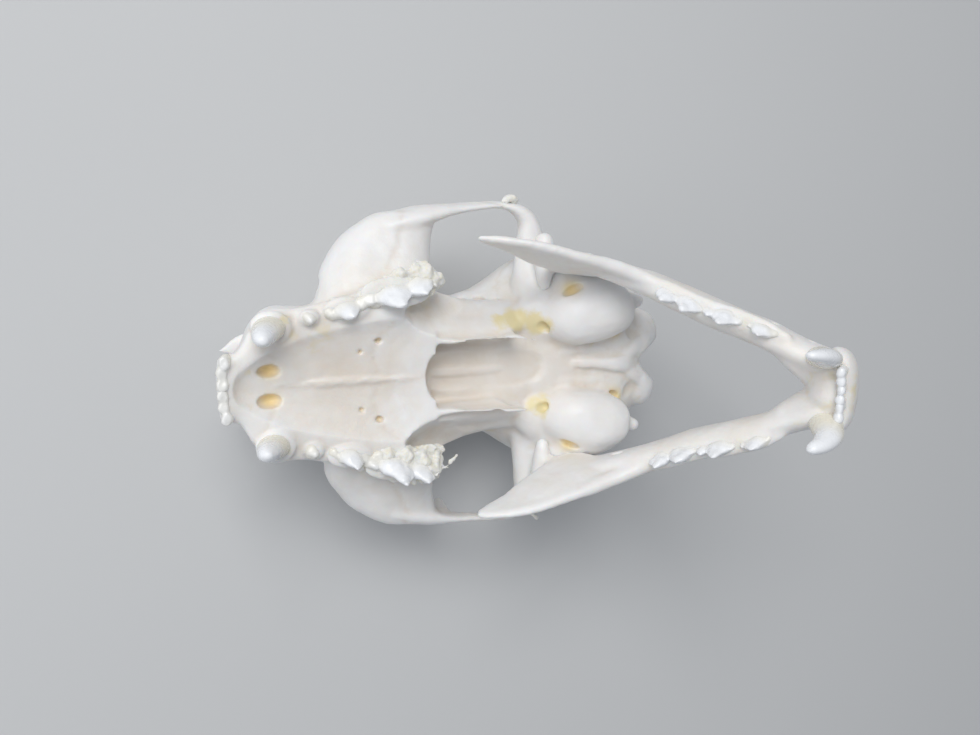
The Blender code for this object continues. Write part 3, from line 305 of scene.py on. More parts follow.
# Limbs of the jaw: as the skull's, but in a, y and b. Then a swelling of the chin.
JAW_LIMBS = {
    "body": ((0, 0, 1), [
        (54.1, 2.1, -4.4, 1.8, 3.4), (52.2, 2.9, -4.8, 2.5, 4.6), (49.5, 4.1, -4.7, 2.6, 4.9),
        (45.5, 5.8, -4.6, 2.4, 4.7), (40, 8.3, -4.5, 2.4, 4.6), (34, 10.4, -4.5, 2.4, 4.8),
        (28, 12.7, -4.5, 2.4, 5.1), (22, 15.2, -4.2, 2.2, 5.4), (16, 17.3, -3.3, 1.9, 5.6),
        (10, 18.9, -2.8, 1.5, 5.2), (4, 20, -4.4, 1.3, 3.6), (0.4, 20.6, -6.6, 1.1, 2.2),
        (-1.6, 20.8, -8, 0.8, 1),
    ]),
    "coronoid": ((1, 0, 0), [
        (11, 18.2, -3, 1.2, 8.2), (9, 19, 3, 1, 7.6), (6.4, 20.6, 9, 0.95, 6.1),
        (3, 22.7, 14.6, 0.9, 4.4), (-0.4, 23.8, 18.6, 0.7, 2.4), (-2.3, 24.2, 20.2, 0.5, 1),
    ]),
    "front_border": ((1, 0, 0), [
        (-1.2, 24.2, 20.2, 0.6, 0.5), (2.2, 23.8, 18.6, 0.8, 0.8), (7, 22.8, 14.8, 0.95, 1.1),
        (11.8, 21, 9.6, 1.1, 1.3), (15.6, 19.4, 4.6, 1.3, 1.5), (19.4, 17.6, 1.2, 1.4, 1.5),
        (24, 15.4, -0.9, 1.4, 1.2),
    ]),
    "tooth_row": ((0, 0, 1), [
        (44.6, 7.6, -1.2, 1.2, 0.8), (41, 9.4, -0.4, 1.7, 0.9), (36, 11, -0.3, 1.9, 1),
        (30.6, 12.5, -0.2, 1.95, 1), (25, 14.8, 0, 1.95, 1.1), (20.5, 16.6, 0.2, 1.5, 1),
    ]),
    "chin_plate": ((0, 0, 1), [
        (53.8, -0.6, -3.6, 1.6, 3.6), (53.8, 1.6, -3.5, 1.6, 3.6), (53.5, 3.8, -3, 1.6, 3.4),
        (52.8, 5.4, -2.2, 1.5, 2.8), (51.4, 6.2, -1.6, 1.2, 1.8),
    ]),
    "symphysis": ((0, 0, 1), [
        (47.6, 0.1, -4.8, 0.6, 1.6), (49.4, 0.6, -4.2, 2, 3.4), (51.6, 0.8, -3.2, 3.2, 4),
        (53.4, 0.8, -2.8, 3, 3.6),
    ]),
    "chin_wing": ((0, 0, 1), [
        (41.6, 6.8, -4.2, 1.2, 3.2), (44, 5.2, -4.3, 1.8, 3.2), (46.2, 3.7, -4.4, 2.1, 3.2),
        (48.4, 2.4, -4.2, 2.3, 3.4), (51, 2.2, -3.6, 2.6, 3.6),
    ]),
    "condyle": ((0, 0, 1), [
        (0, 14.6, -0.5, 0.9, 0.9), (0, 16.2, -0.2, 1.4, 1.4), (0, 19, 0, 1.8, 1.8),
        (0, 22, 0.2, 2, 2), (0, 24.2, 0.3, 1.7, 1.6), (0, 25.2, 0.4, 0.8, 0.8),
    ]),
    "neck": ((0, 0, 1), [
        (0.6, 19.6, -0.6, 2.2, 1.6), (4, 20.4, -1.4, 1.6, 2.4), (9, 20.2, -1.6, 1.3, 4),
    ]),
}
CHIN_SWELLING = ((50.6, 1.9, -5.2), (4.2, 2.4, 4))
# Hollows of the jaw's side for the chewing muscle: centre and radii.
JAW_HOLLOWS = [((9.4, 24.4, 3), (6.6, 4.2, 6)), ((16.6, 21.4, -1.2), (7.4, 2.9, 3))]
# Openings of the jaw: the two chin openings and the nerve opening inside the ramus.
JAW_OPENINGS = [
    (47.6, 6.6, -5, 0.8, 1.4, 0.6), (41.6, 10, -4.6, 0.6, 1.4, 0.5),
    (14.6, 15.6, -2.6, 1.3, 1.2, 0.9),
]

# Cheek teeth: front end, back end, gum level, half thickness, then the cusps. A cusp is its place
# along the tooth, its shift across it, its height, half thickness and half length.
UPPER_TEETH = {
    "second_premolar": ((13.6, 11.2), (16.2, 11.5), -0.6, 1.2, [(0.5, 0, 1.6, 1.2, 1.7)]),
    "third_premolar": ((17.8, 11.8), (24.4, 13.6), -0.5, 1.4, [
        (0.12, 0, 1.1, 1.1, 1.6), (0.5, 0, 3.7, 1.5, 3), (0.88, 0, 1.3, 1.2, 1.8),
    ]),
    "fourth_premolar": ((24.2, 13.9), (35.6, 16.9), -0.6, 1.6, [
        (0.09, 0.1, 1.6, 1.2, 2.4), (0.17, -0.9, 0.9, 1.2, 1.8), (0.42, 0, 5.2, 1.7, 4.2),
        (0.82, 0.1, 3.6, 1.5, 3.6),
    ]),
    "molar": ((35.3, 14.6), (36.5, 17.4), -0.4, 0.9, [
        (0.25, 0, 1.2, 0.9, 1), (0.75, 0, 1.5, 0.9, 1.1),
    ]),
}
LOWER_TEETH = {
    "third_premolar": ((43.2, 8.6), (37.9, 10.5), -0.6, 1.15, [
        (0.14, 0, 1.4, 0.9, 1.2), (0.5, 0, 4, 1.2, 2.8), (0.88, 0, 1.8, 1, 1.2),
    ]),
    "fourth_premolar": ((37.5, 10.5), (30.8, 12.4), -0.4, 1.2, [
        (0.12, 0, 2.1, 1, 1.5), (0.46, 0, 4.8, 1.3, 3.2), (0.84, 0, 2.8, 1.1, 1.9),
    ]),
    "molar": ((30.6, 12.3), (22.2, 15.6), -0.4, 1.3, [
        (0.28, 0, 4.8, 1.4, 3.4), (0.74, 0, 4.6, 1.3, 3.2),
    ]),
}
# The blade of a cheek tooth: its least height, how it falls off from a cusp, how sharp its edge
# is, how thick its ends stay and how deep it stands below the gum.
BLADE_LEAST = 0.5
BLADE_FALL = 1.15
BLADE_EDGE = 1.25
BLADE_END = 0.15
BLADE_DEPTH = 1.6
# The core of a cusp: its height and length as shares of the cusp's.
CORE_HEIGHT = 0.9
CORE_LENGTH = 0.8
# Level of the gum line, and the crowns' yellow foot above it: where it starts to fade, and over
# what height.
UPPER_GUM = -0.6
LOWER_GUM = -0.4
CHEEK_TOOTH_FOOT = (0, 2.2)
CANINE_FOOT = (3.6, 3.6)
# How far a crown leans back along the row and to the left, as shares of its height.
UPPER_LEAN = (0.22, -0.38)
LOWER_LEAN = (0, -0.2)
# Rings of a cusp: level as a share of its height, and breadth as a share of its foot.
CUSP_RINGS = [(-0.5, 0.95), (0, 1), (0.3, 0.84), (0.6, 0.58), (0.85, 0.34), (0.97, 0.2), (1, 0.08)]
# Incisors: u or a, y and height of the crown.
UPPER_INCISORS = [(0.8, 0.95, 1), (0.85, 2.8, 1), (1.25, 4.6, 1.15)]
LOWER_INCISORS = [(53.2, 0.75, 2.4), (53.2, 2.2, 2.5), (53.1, 3.65, 2.7)]
# Bodies that join the feet of the incisors.
UPPER_INCISOR_BAND = [
    (0.85, 0.1, -1, 0.85, 0.75), (0.95, 2.8, -1, 0.85, 0.75), (1.4, 4.9, -1, 0.85, 0.7),
]
LOWER_INCISOR_BAND = [
    (53.4, 0.1, 0.5, 0.6, 0.9), (53.4, 2.2, 0.5, 0.6, 0.9), (53.3, 4, 0.5, 0.6, 0.9),
]
# Canines, as paths from the root to the tip, and an incisor of each jaw as rings: shift along x or
# u, level, half thickness and half width. The last column of the lower one says whether its level
# counts from the tip.
UPPER_CANINE = [
    (9.6, 10.2, 3, 2.1, 2.5), (8.5, 9.9, -1, 2.1, 2.6), (7.7, 9.6, -4.2, 1.9, 2.25),
    (7.2, 9.3, -6.9, 1.6, 1.8), (7, 9.1, -8.9, 1.25, 1.4), (7, 9, -10, 0.75, 0.85),
    (7, 9, -10.35, 0.4, 0.45), (7, 9, -10.45, 0.05, 0.05),
]
UPPER_INCISOR = [
    (0.6, 0.8, 1.2, 0.9), (0.2, -0.6, 1.3, 0.95), (0, -1.3, 1.3, 0.9), (0, -1.8, 1.05, 0.65),
]
LOWER_INCISOR = [
    (-1.2, -3.2, 0.8, 0.9, 0), (0, -0.6, 0.9, 0.8, 0), (0.2, -0.8, 0.9, 0.65, 1),
    (0.1, -0.2, 0.6, 0.35, 1),
]
LOWER_CANINE = [
    (50.4, 5.2, -2.8, 2.1, 2.5), (51.7, 5.6, 1, 2, 2.5), (52.5, 6.2, 4.4, 1.75, 2.1),
    (52.1, 6.8, 7.6, 1.35, 1.6), (51.2, 7.1, 9.8, 0.95, 1.1), (50.8, 7.2, 10.6, 0.5, 0.6),
    (50.7, 7.2, 10.8, 0.05, 0.05),
]
# How far the lower canine of each side is set back, and by what share it is thinner.
LOWER_CANINE_CHANGE = {1: (0.9, 0.15), -1: (0, 0)}

# Dried tissue round the cheek teeth, for each side: lumps as u, y, z and radius, their breadths as
# shares of the radius and how far they are sunk in; then crusts and chips as paths.
TISSUE_LUMPS = {
    1: [
        (34.4, 18.6, -0.4, 1.9), (36.4, 17.4, -0.2, 1.7), (31.2, 17.9, -0.5, 1.5),
        (19.4, 13.6, -0.3, 0.8), (22.4, 12, -0.1, 0.8), (24.8, 15.2, -0.2, 1), (27, 16.4, 0, 1.2),
        (27.6, 13.4, 0.3, 0.9), (29.4, 16.9, -0.1, 1.2), (31, 14.5, 0.3, 0.9),
        (31.4, 17.7, 0.2, 1.4), (33.4, 18.2, 0.3, 1.2), (34.4, 14.7, 0.6, 0.8),
        (35.6, 18.4, 0.8, 1.2), (36.7, 16.6, 1, 1.1),
    ],
    -1: [
        (27.4, 13.2, -0.7, 1.4), (33.6, 14.6, -0.8, 1.8), (35.8, 16.2, -0.4, 1.9),
        (30.4, 14, -0.9, 1.5), (19.6, 13.2, -0.3, 0.8), (23, 14.8, -0.2, 0.8),
        (26.2, 13.2, 0.1, 1.1), (27.6, 16.6, 0, 1.1), (29.7, 13.4, 0.2, 1.2), (31.5, 17.2, 0, 1.2),
        (32.4, 13.8, 0.2, 1.2), (34.4, 13.8, 0.4, 1.2), (34.2, 18, 0.4, 1), (36.3, 15, 0.4, 1.4),
        (37.2, 13.4, 0.6, 1.1), (36.2, 17.6, 0.6, 1.2),
    ],
}
LUMP_SHAPE = (1.25, 1, 0.8)
LUMP_SUNK = 0.5
TISSUE_CRUSTS = {
    1: [
        [
            (24.6, 15.3, 0.3, 0.9, 0.7), (28, 16.6, 0.2, 1.3, 0.9), (32, 17.9, 0.3, 1.5, 1),
            (35.6, 18.2, 0.9, 1.3, 1), (37, 16.8, 1.2, 1.1, 0.9),
        ],
    ],
    -1: [
        [
            (25, 13, 0.4, 1, 0.7), (29, 13.4, 0.3, 1.4, 0.9), (33, 13.8, 0.5, 1.5, 0.9),
            (36.6, 14.6, 0.8, 1.5, 1),
        ],
        [
            (26, 16, 0.4, 0.9, 0.7), (30, 17.2, 0.3, 1.2, 0.9), (34, 18, 0.6, 1.2, 0.9),
            (37, 17, 1, 1.2, 0.9),
        ],
    ],
}
TISSUE_CHIPS = {
    1: [[(32.6, 16.2, -0.6, 0.35, 0.5), (34.2, 15.2, -1.2, 0.3, 0.6), (35.8, 15, -1.4, 0.2, 0.3)]],
    -1: [
        [
            (36.4, 15.4, 0.4, 0.8, 0.5), (38, 16.6, 0, 0.7, 0.3), (39.2, 15.6, -0.4, 0.45, 0.4),
            (40.4, 14.2, -0.8, 0.3, 0.25),
        ],
        [(34.8, 13.2, 0.2, 0.6, 0.25), (35.6, 12.2, -0.1, 0.5, 0.2), (36.8, 12.6, -0.3, 0.3, 0.2)],
    ],
}
# Chips of dry tissue on the left cheek arch and beside the right jaw joint.
ARCH_CHIPS = {
    1: [(52, 31, 9.2, 0.3, 0.5), (53.6, 31.7, 9.4, 0.45, 0.8), (55.6, 31.4, 9.6, 0.3, 0.4)],
    -1: [(56.8, 29.6, 9.6, 0.5, 0.6), (58.6, 30.8, 9.2, 0.4, 0.4), (60.2, 31.8, 9, 0.2, 0.2)],
}

# Small openings on both sides: u, y, z and radii. In order: two of the palate, the jugular and
# the hypoglossal opening, five nerve openings from the orbit to the ear, and the tear duct.
SMALL_OPENINGS = [
    (26.7, 7, 1, 0.8, 0.5, 1), (23.6, 5.1, 1.2, 0.5, 0.4, 0.8), (75, 6.8, 6, 1.8, 1.1, 1.5),
    (77.6, 4.6, 7.4, 0.7, 0.7, 1), (46, 12, 14.6, 0.8, 1.8, 0.8), (49, 12.8, 13.2, 1.1, 1.8, 1.1),
    (51.8, 12.6, 11.4, 0.7, 1.6, 0.7), (56.6, 9.6, 6.4, 0.9, 0.7, 1), (59, 7.7, 4.3, 1.8, 1.1, 0.9),
    (22.4, 14.6, 19, 0.9, 1.4, 1.1),
]

# Spots of yellow stains, pink-beige blushes and chalk, with some spots of painted shade among the
# first two lists: u, y, z, reach and strength.
STAINS_AND_SHADE = [
    (50.4, 8.2, 6, 2.6, 0.9), (53.9, 9.2, 6, 2.8, 1), (57.9, 8.6, 5.5, 2.6, 1),
    (60.4, 8.6, 4.5, 2.2, 0.9), (58.9, -7.6, 4.8, 2.3, 0.86), (57.4, -7.2, 5.4, 1.8, 0.6),
    # (12, 9.2) and (17, 8.2) are painted shade: warm brown on the left wall of the palate's vault
    # beside the canine.
    (12, 9.2, 0.8, 3, 0.46), (17, 8.2, 1, 4.2, 0.36), (60, 16.5, 7, 2.4, 0.45),
    (62.4, -13, 6, 2.4, 0.5), (75.3, 6.3, 6, 1.6, 0.8), (76.2, -7.3, 6, 2, 0.8),
    (66, 4.6, 6, 2, 0.45), (70, 4.6, 6, 2, 0.45), (82.8, 6.4, 9, 3.6, 0.36),
    (82.8, -6.4, 9, 3.6, 0.36), (5.4, 2.4, 0.4, 1.9, 0.34), (5.4, -2.4, 0.4, 1.9, 0.3),
    (34, 13.8, 1.4, 2.4, 0.8), (36.6, 14.8, 2.6, 2.8, 0.9), (50, -14, 12, 3.4, 0.5),
    (44, -12, 10, 3.4, 0.3), (10.6, 11, -1, 1.3, 0.6), (10.8, -10.8, -1, 1.3, 0.6),
]
BLUSHES_AND_SHADE = [
    # (13, 8.4) and (18, 9) are painted shade: warm brown on the left wall of the palate's vault
    # beside the canine.
    (13, 8.4, 0, 4, 0.9), (18, 9, 0.4, 5, 0.8), (20, 4, 1, 9, 0.75), (29, 3, 1, 7, 0.5),
    (22, -5, 1, 7, 0.4), (44, 2, 6, 9, 0.9), (44, -3, 6, 8, 0.4), (54, 0, 6, 9, 0.7),
    (64, 1.5, 6, 8, 0.6), (43, 12, 8, 7, 0.2), (43, -12, 8, 7, 0.55), (50, -13, 11, 6, 0.5),
]
CHALKS = [
    (27, 16.4, 0, 2.6, 0.9), (31, 17.6, 0.4, 2.8, 1), (35, 18, 0.8, 2.8, 1),
    (22, 14.4, -0.4, 2, 0.6), (28, -15.4, 0, 2.8, 0.9), (32, -15.6, 0.2, 3.2, 1),
    (36, -15.4, 0.6, 3.4, 1), (22, -14.4, -0.4, 1.8, 0.5),
]
# Amber spots, which are the same on both sides.
AMBERS = [
    (8.3, 2.5, 2.6, 1.9, 1), (64, 14.9, 3, 1.7, 1), (74.7, 6.4, 6.6, 1.6, 0.8),
    (79, 0, 13, 4, 0.6), (26.7, 7, 1.9, 0.8, 0.5), (23.6, 5.1, 1.8, 0.6, 0.4),
]
# Spots of the jaw in a, y and b, on both sides.
JAW_BLUSHES = [(49, 1, -1, 5, 0.5), (53, 2, -1, 4, 0.4), (40, 8, -3, 6, 0.4), (26, 13, -3, 8, 0.4)]
JAW_STAINS = [
    (50.4, 1.2, -0.6, 3.6, 0.34), (55, 0.5, -1.2, 1.7, 0.42), (54.8, 2.6, -1, 1.6, 0.36),
    (47.4, 5.6, 0.2, 1.8, 0.3), (38, 10.4, 0.4, 1.8, 0.3), (30.8, 12.4, 0.6, 2.2, 0.36),
    (21.8, 16, 0.8, 1.8, 0.25),
]
JAW_CHALKS = [(30, 12.8, -0.2, 2.4, 0.5), (38, 10.4, -0.2, 2.4, 0.5), (24, 15.2, 0, 2.4, 0.5)]

# Lamps: place in metres, size in metres and colour; then the point that they face and the sky.
KEY_LAMP = ((-0.2, 0.26, 0.58), 0.36, (1, 0.985, 0.96))
FILL_LAMP = ((-0.5, 0.02, 0.34), 0.5, (0.97, 0.98, 1))
LAMPS_FACE = (0, 0, 0.03)
SKY_COLOUR = (0.9, 0.94, 1, 1)
FLOOR_SIZE = 4
# Width and depth of the block that stands for the ground, in metres.
GROUND_WIDTH = 0.4
GROUND_DEPTH = 0.2


# ---------------------------------------------------------------- settings

def colour(name, description, default):
    """A colour that the user can change."""
    return FloatVectorProperty(
        name=name, description=description, subtype="COLOR", size=3, default=default, min=0, max=1)


class SkullSettings(bpy.types.PropertyGroup):
    """Fineness and colours of the bones and teeth."""

    bone_fineness: FloatProperty(
        name="Bone fineness", description="Grid that the bones are fused on",
        default=0.0003, min=0.0002, max=0.001, unit="LENGTH", precision=5)
    bone_triangles: IntProperty(
        name="Bone triangles", description="Most triangles that the cranium and the jaw each keep",
        default=190000, min=20000, max=199000)
    tooth_fineness: FloatProperty(
        name="Tooth fineness", description="Grid that the teeth are fused on",
        default=0.00016, min=0.0001, max=0.0005, unit="LENGTH", precision=5)
    bone: colour("Bone", "Clean dry bone", (0.80, 0.775, 0.74))
    pale_bone: colour("Pale bone", "Bleached bone on raised surfaces", (0.86, 0.865, 0.875))
    # Also the colour of painted shade, warm brown, on the left wall of the palate's vault.
    blush_and_shade: colour("Blush", "Pinkish beige of the palate and the throat", (0.73, 0.65, 0.56))
    # Also the colour of painted shade on the left wall of the palate's vault.
    stain_and_shade: colour("Stain", "Yellow stains round the base", (0.79, 0.69, 0.38))
    amber: colour("Amber", "Orange depth of the small openings", (0.92, 0.74, 0.40))
    tissue: colour("Dried tissue", "Chalky remains round the cheek teeth", (0.83, 0.81, 0.72))
    enamel: colour("Enamel", "Crowns of the teeth", (0.88, 0.90, 0.94))
    gum_line: colour("Gum line", "Yellowed foot of the crowns", (0.83, 0.80, 0.70))


class StudioSettings(bpy.types.PropertyGroup):
    """Floor and lights."""

    floor: colour("Floor", "Colour of the floor", (0.60, 0.61, 0.62))
    key_power: FloatProperty(
        name="Key light", description="Power of the large soft light", default=2.4, unit="POWER")
    fill_power: FloatProperty(
        name="Fill light", description="Power of the light in front of the muzzle", default=0.9,
        unit="POWER")
    sky: FloatProperty(name="Sky", description="Strength of the even light all round", default=0.35)


# ---------------------------------------------------------------- modelling by hand

def skull_point(u, y, z):
    """A point of the skull's frame; x runs forwards."""
    return Vector((-u, y, z))


def jaw_point(a, y, b):
    """A point of the jaw's frame; x runs forwards too."""
    return Vector((a, y, b))


def skull_matrix():
    """Takes the skull's frame, in millimetres, into the world, in metres."""
    turn = Euler([math.radians(angle) for angle in (-ROLLED_LEFT_UP, 180 + MUZZLE_RAISED, TURNED)])
    return Matrix.Scale(MM, 4) @ Matrix.Translation(SKULL_PLACE) @ turn.to_matrix().to_4x4()


def jaw_matrix():
    """Takes the jaw's frame, in millimetres, into the world, in metres."""
    hinge = Matrix.Translation((-HINGE[0], HINGE[1], HINGE[2]))
    return skull_matrix() @ hinge @ Matrix.Rotation(math.radians(JAW_OPEN), 4, "Y")


def smooth_rows(rows, steps):
    """Rows of numbers filled in along a Catmull-Rom curve, with a number of steps per span."""
    rows = np.array(rows, dtype=float)
    ends = np.vstack([2 * rows[0] - rows[1], rows, 2 * rows[-1] - rows[-2]])
    filled = []
    for index in range(len(rows) - 1):
        before, start, end, after = ends[index:index + 4]
        for step in range(steps):
            t = step / steps
            curve = 2 * start + (end - before) * t
            curve = curve + (2 * before - 5 * start + 4 * end - after) * t ** 2
            curve = curve + (3 * start - before - 3 * end + after) * t ** 3
            filled.append(curve / 2)
    filled.append(rows[-1])
    return filled


def squircle(angle, power):
    """Cosine and sine of a superellipse at an angle; a power of 2 is a plain ellipse."""
    across = math.copysign(abs(math.cos(angle)) ** (2 / power), math.cos(angle))
    upward = math.copysign(abs(math.sin(angle)) ** (2 / power), math.sin(angle))
    return across, upward


def deselect():
    """Leave nothing selected, so that the next step acts on its own piece only."""
    bpy.ops.object.select_all(action="DESELECT")


def extruded(rings):
    """A closed body extruded from a disc, ring by ring."""
    deselect()
    bpy.ops.mesh.primitive_circle_add(vertices=len(rings[0]), radius=1, fill_type="NGON")
    bpy.ops.object.mode_set(mode="EDIT")
    bpy.ops.mesh.select_all(action="SELECT")
    for number, ring in enumerate(rings):
        if number:
            bpy.ops.mesh.extrude_region()
        bm = bmesh.from_edit_mesh(bpy.context.object.data)
        chosen = [vert for vert in bm.verts if vert.select]
        for vert, point in zip(chosen, ring):
            vert.co = point
    bpy.ops.mesh.select_all(action="SELECT")
    bpy.ops.mesh.normals_make_consistent(inside=False)
    bpy.ops.object.mode_set(mode="OBJECT")
    return bpy.context.object


def loft(sections, steps=4, sides=48):
    """A body whose sections stand across u, each with a widest level and a squareness."""
    rings = []
    for u, half_width, low, high, widest, power in smooth_rows(sections, steps):
        ring = []
        for side in range(sides):
            across, upward = squircle(math.tau * side / sides, power)
            reach = high - widest if upward > 0 else widest - low
            ring.append(skull_point(u, across * half_width, widest + upward * reach))
        rings.append(ring)
    return extruded(rings)


def cheek_floor(side, steps=4, sides=40, power=2.8):
    """Floor of the orbit on one side, widening into the root of the cheekbone."""
    rings = []
    for y, front, back, low, high in smooth_rows(CHEEK_SECTIONS, steps):
        ring = []
        for corner in range(sides):
            across, upward = squircle(math.tau * corner / sides, power)
            u = (front + back) / 2 + across * (back - front) / 2
            ring.append(skull_point(u, side * y, (low + high) / 2 + upward * (high - low) / 2))
        rings.append(ring)
    return extruded(rings)


def limb(path, side=1, place=skull_point, lean=UPWARDS, steps=5, sides=20, power=2.2):
    """A limb along a path; its height leans to a direction that is given for the left side."""
    lean = Vector((lean[0], lean[1] * side, lean[2]))
    rows = smooth_rows(path, steps)
    centres = [place(row[0], side * row[1], row[2]) for row in rows]
    rings = []
    for index, row in enumerate(rows):
        ahead = centres[min(index + 1, len(rows) - 1)]
        behind = centres[max(index - 1, 0)]
        along = (ahead - behind).normalized()
        height = (lean - along * lean.dot(along)).normalized()
        thickness = along.cross(height)
        ring = []
        for corner in range(sides):
            across, upward = squircle(math.tau * corner / sides, power)
            ring.append(centres[index] + thickness * (across * row[3]) + height * (upward * row[4]))
        rings.append(ring)
    return extruded(rings)


def ball(centre, radii, turn=(0, 0, 0), side=1, place=skull_point, segments=40):
    """An ellipsoid with its radii along x, y and z, turned by degrees."""
    deselect()
    angles = (math.radians(turn[0] * side), math.radians(turn[1]), math.radians(turn[2] * side))
    bpy.ops.mesh.primitive_uv_sphere_add(
        segments=segments, ring_count=segments // 2, radius=1,
        location=place(centre[0], side * centre[1], centre[2]), rotation=angles, scale=radii)
    bpy.ops.object.transform_apply(location=True, rotation=True, scale=True)
    return bpy.context.object


def joined(name, parts):
    """One object made of several."""
    deselect()
    for part in parts:
        part.select_set(True)
    bpy.context.view_layer.objects.active = parts[0]
    bpy.ops.object.join()
    parts[0].name = name
    parts[0].data.name = name
    return parts[0]


def finish_with(piece, kind, **settings):
    """Put a modifier on a piece and apply it."""
    deselect()
    piece.select_set(True)
    bpy.context.view_layer.objects.active = piece
    modifier = piece.modifiers.new(kind.lower(), kind)
    for key, value in settings.items():
        setattr(modifier, key, value)
    bpy.ops.object.modifier_apply(modifier=modifier.name)


def fuse(piece, grid, rounds):
    """Melt overlapping bodies into one skin and soften it."""
    finish_with(piece, "REMESH", mode="VOXEL", voxel_size=grid)
    finish_with(piece, "SMOOTH", factor=0.5, iterations=rounds)


def carve(piece, cutters):
    """Cut shapes out of a piece, one after the other."""
    for cutter in cutters:
        finish_with(piece, "BOOLEAN", operation="DIFFERENCE", solver="EXACT", object=cutter)
        bpy.data.objects.remove(cutter, do_unlink=True)


def thin_out(piece, most):
    """Bring a piece down to a number of triangles if it has more."""
    triangles = 2 * len(piece.data.polygons)
    if triangles > most:
        finish_with(piece, "TRIANGULATE")
        finish_with(piece, "DECIMATE", ratio=most / triangles)


def ground_block():
    """A block that fills everything below the floor, in the skull's frame."""
    deselect()
    bpy.ops.mesh.primitive_cube_add(
        size=1, location=(0, 0, -GROUND_DEPTH / 2),
        scale=(GROUND_WIDTH, GROUND_WIDTH, GROUND_DEPTH))
    bpy.ops.object.transform_apply(location=True, rotation=True, scale=True)
    block = bpy.context.object
    block.data.transform(skull_matrix().inverted())
    return block


def roughen(piece, waves):
    """Move a skin in and out along its normals by smooth noise, in waves of a length and depth."""
    corners, normals, _edges = mesh_arrays(piece)
    lift = np.zeros(len(corners))
    for length, depth in waves:
        lift += depth * np.array([noise.noise(Vector(corner)) for corner in corners / length])
    move_corners(piece, corners + normals * lift[:, None])


def soften(piece, spots, rounds):
    """Smooth a piece near some spots of both sides."""
    corners, _normals, edges = mesh_arrays(piece)
    amount = near(corners, mirrored(spots))[:, None]
    move_corners(piece, corners + amount * (blurred(corners, edges, rounds) - corners))


def move_corners(piece, corners):
    """Give a piece's corners new places."""
    piece.data.vertices.foreach_set("co", corners.ravel())
    piece.data.update()


def seams(piece):
    """How near each corner is to a seam between two bones, from 0 to 1."""
    corners, _normals, _edges = mesh_arrays(piece)
    skin = kdtree.KDTree(len(corners))
    for index, corner in enumerate(corners):
        skin.insert(corner, index)
    skin.balance()
    paths = [(path, 1) for path in MIDLINE_SEAMS + SIDE_SEAMS] + [(path, -1) for path in SIDE_SEAMS]
    closeness = np.zeros(len(corners))
    for path, side in paths:
        for u, y, z in smooth_rows(path, SEAM_STEPS):
            spot = skull_point(u, side * y, z)
            wander = noise.noise_vector(spot * SEAM_RIPPLES) * SEAM_WANDER
            spot, _index, _distance = skin.find(spot + wander)
            for _place, index, distance in skin.find_range(spot, SEAM_REACH):
                closeness[index] = max(closeness[index], math.exp(-(distance / SEAM_SPREAD) ** 2))
    return closeness


def both(maker, *args, **options):
    """A shape made on the left and on the right, joined as one."""
    return joined("pair", [maker(*args, side=side, **options) for side in (1, -1)])


def laid_down(piece, matrix, nodes=()):
    """Put the place of a finished piece in its mesh and hand it to the frame."""
    piece.data.transform(matrix)
    deselect()
    piece.select_set(True)
    bpy.context.view_layer.objects.active = piece
    bpy.ops.object.shade_smooth()
    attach(piece, "root")
    if nodes:
        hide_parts(*nodes)


# ---------------------------------------------------------------- painting

def mesh_arrays(piece):
    """Corners, normals and edges of a piece as arrays."""
    mesh = piece.data
    corners = np.empty(len(mesh.vertices) * 3)
    mesh.vertices.foreach_get("co", corners)
    normals = np.empty(len(mesh.vertices) * 3)
    mesh.vertices.foreach_get("normal", normals)
    edges = np.empty(len(mesh.edges) * 2, dtype=np.int64)
    mesh.edges.foreach_get("vertices", edges)
    return corners.reshape(-1, 3), normals.reshape(-1, 3), edges.reshape(-1, 2)


def blurred(values, edges, rounds):
    """Values at the corners, averaged with their neighbours a number of times."""
    ends = np.concatenate([edges[:, 0], edges[:, 1]])
    starts = np.concatenate([edges[:, 1], edges[:, 0]])
    count = np.maximum(np.bincount(ends, minlength=len(values)), 1)
    flat = values.reshape(len(values), -1).astype(float)
    for _round in range(rounds):
        total = [np.bincount(ends, weights=column[starts], minlength=len(values))
                 for column in flat.T]
        flat = 0.5 * flat + 0.5 * (np.array(total) / count).T
    return flat.reshape(values.shape)


def hollowness(piece, rounds, depth):
    """How far each corner lies in a hollow, from 0 to 1, and on an edge, from 0 to -1."""
    corners, normals, edges = mesh_arrays(piece)
    sunk = np.sum((blurred(corners, edges, rounds) - corners) * normals, axis=1)
    return np.clip(sunk / depth, -1, 1)


def mirrored(spots):
    """Spots of the left side together with the same ones of the right."""
    return [(u, side * y, *rest) for u, y, *rest in spots for side in (1, -1)]


def near(points, spots):
    """How near points are to spots, from 0 to 1; a spot is u, y, z, reach and strength."""
    total = np.zeros(len(points))
    for u, y, z, reach, strength in spots:
        distance = np.linalg.norm(points - np.array([-u, y, z]), axis=1)
        total = np.maximum(total, strength * np.exp(-(distance / reach) ** 2))
    return total


def paint(piece, name, values):
    """Keep a value for each corner of a piece, for its material to read."""
    layer = piece.data.attributes.new(name, "FLOAT", "POINT")
    layer.data.foreach_set("value", np.clip(values, 0, 1).astype(np.float32))


# ---------------------------------------------------------------- materials

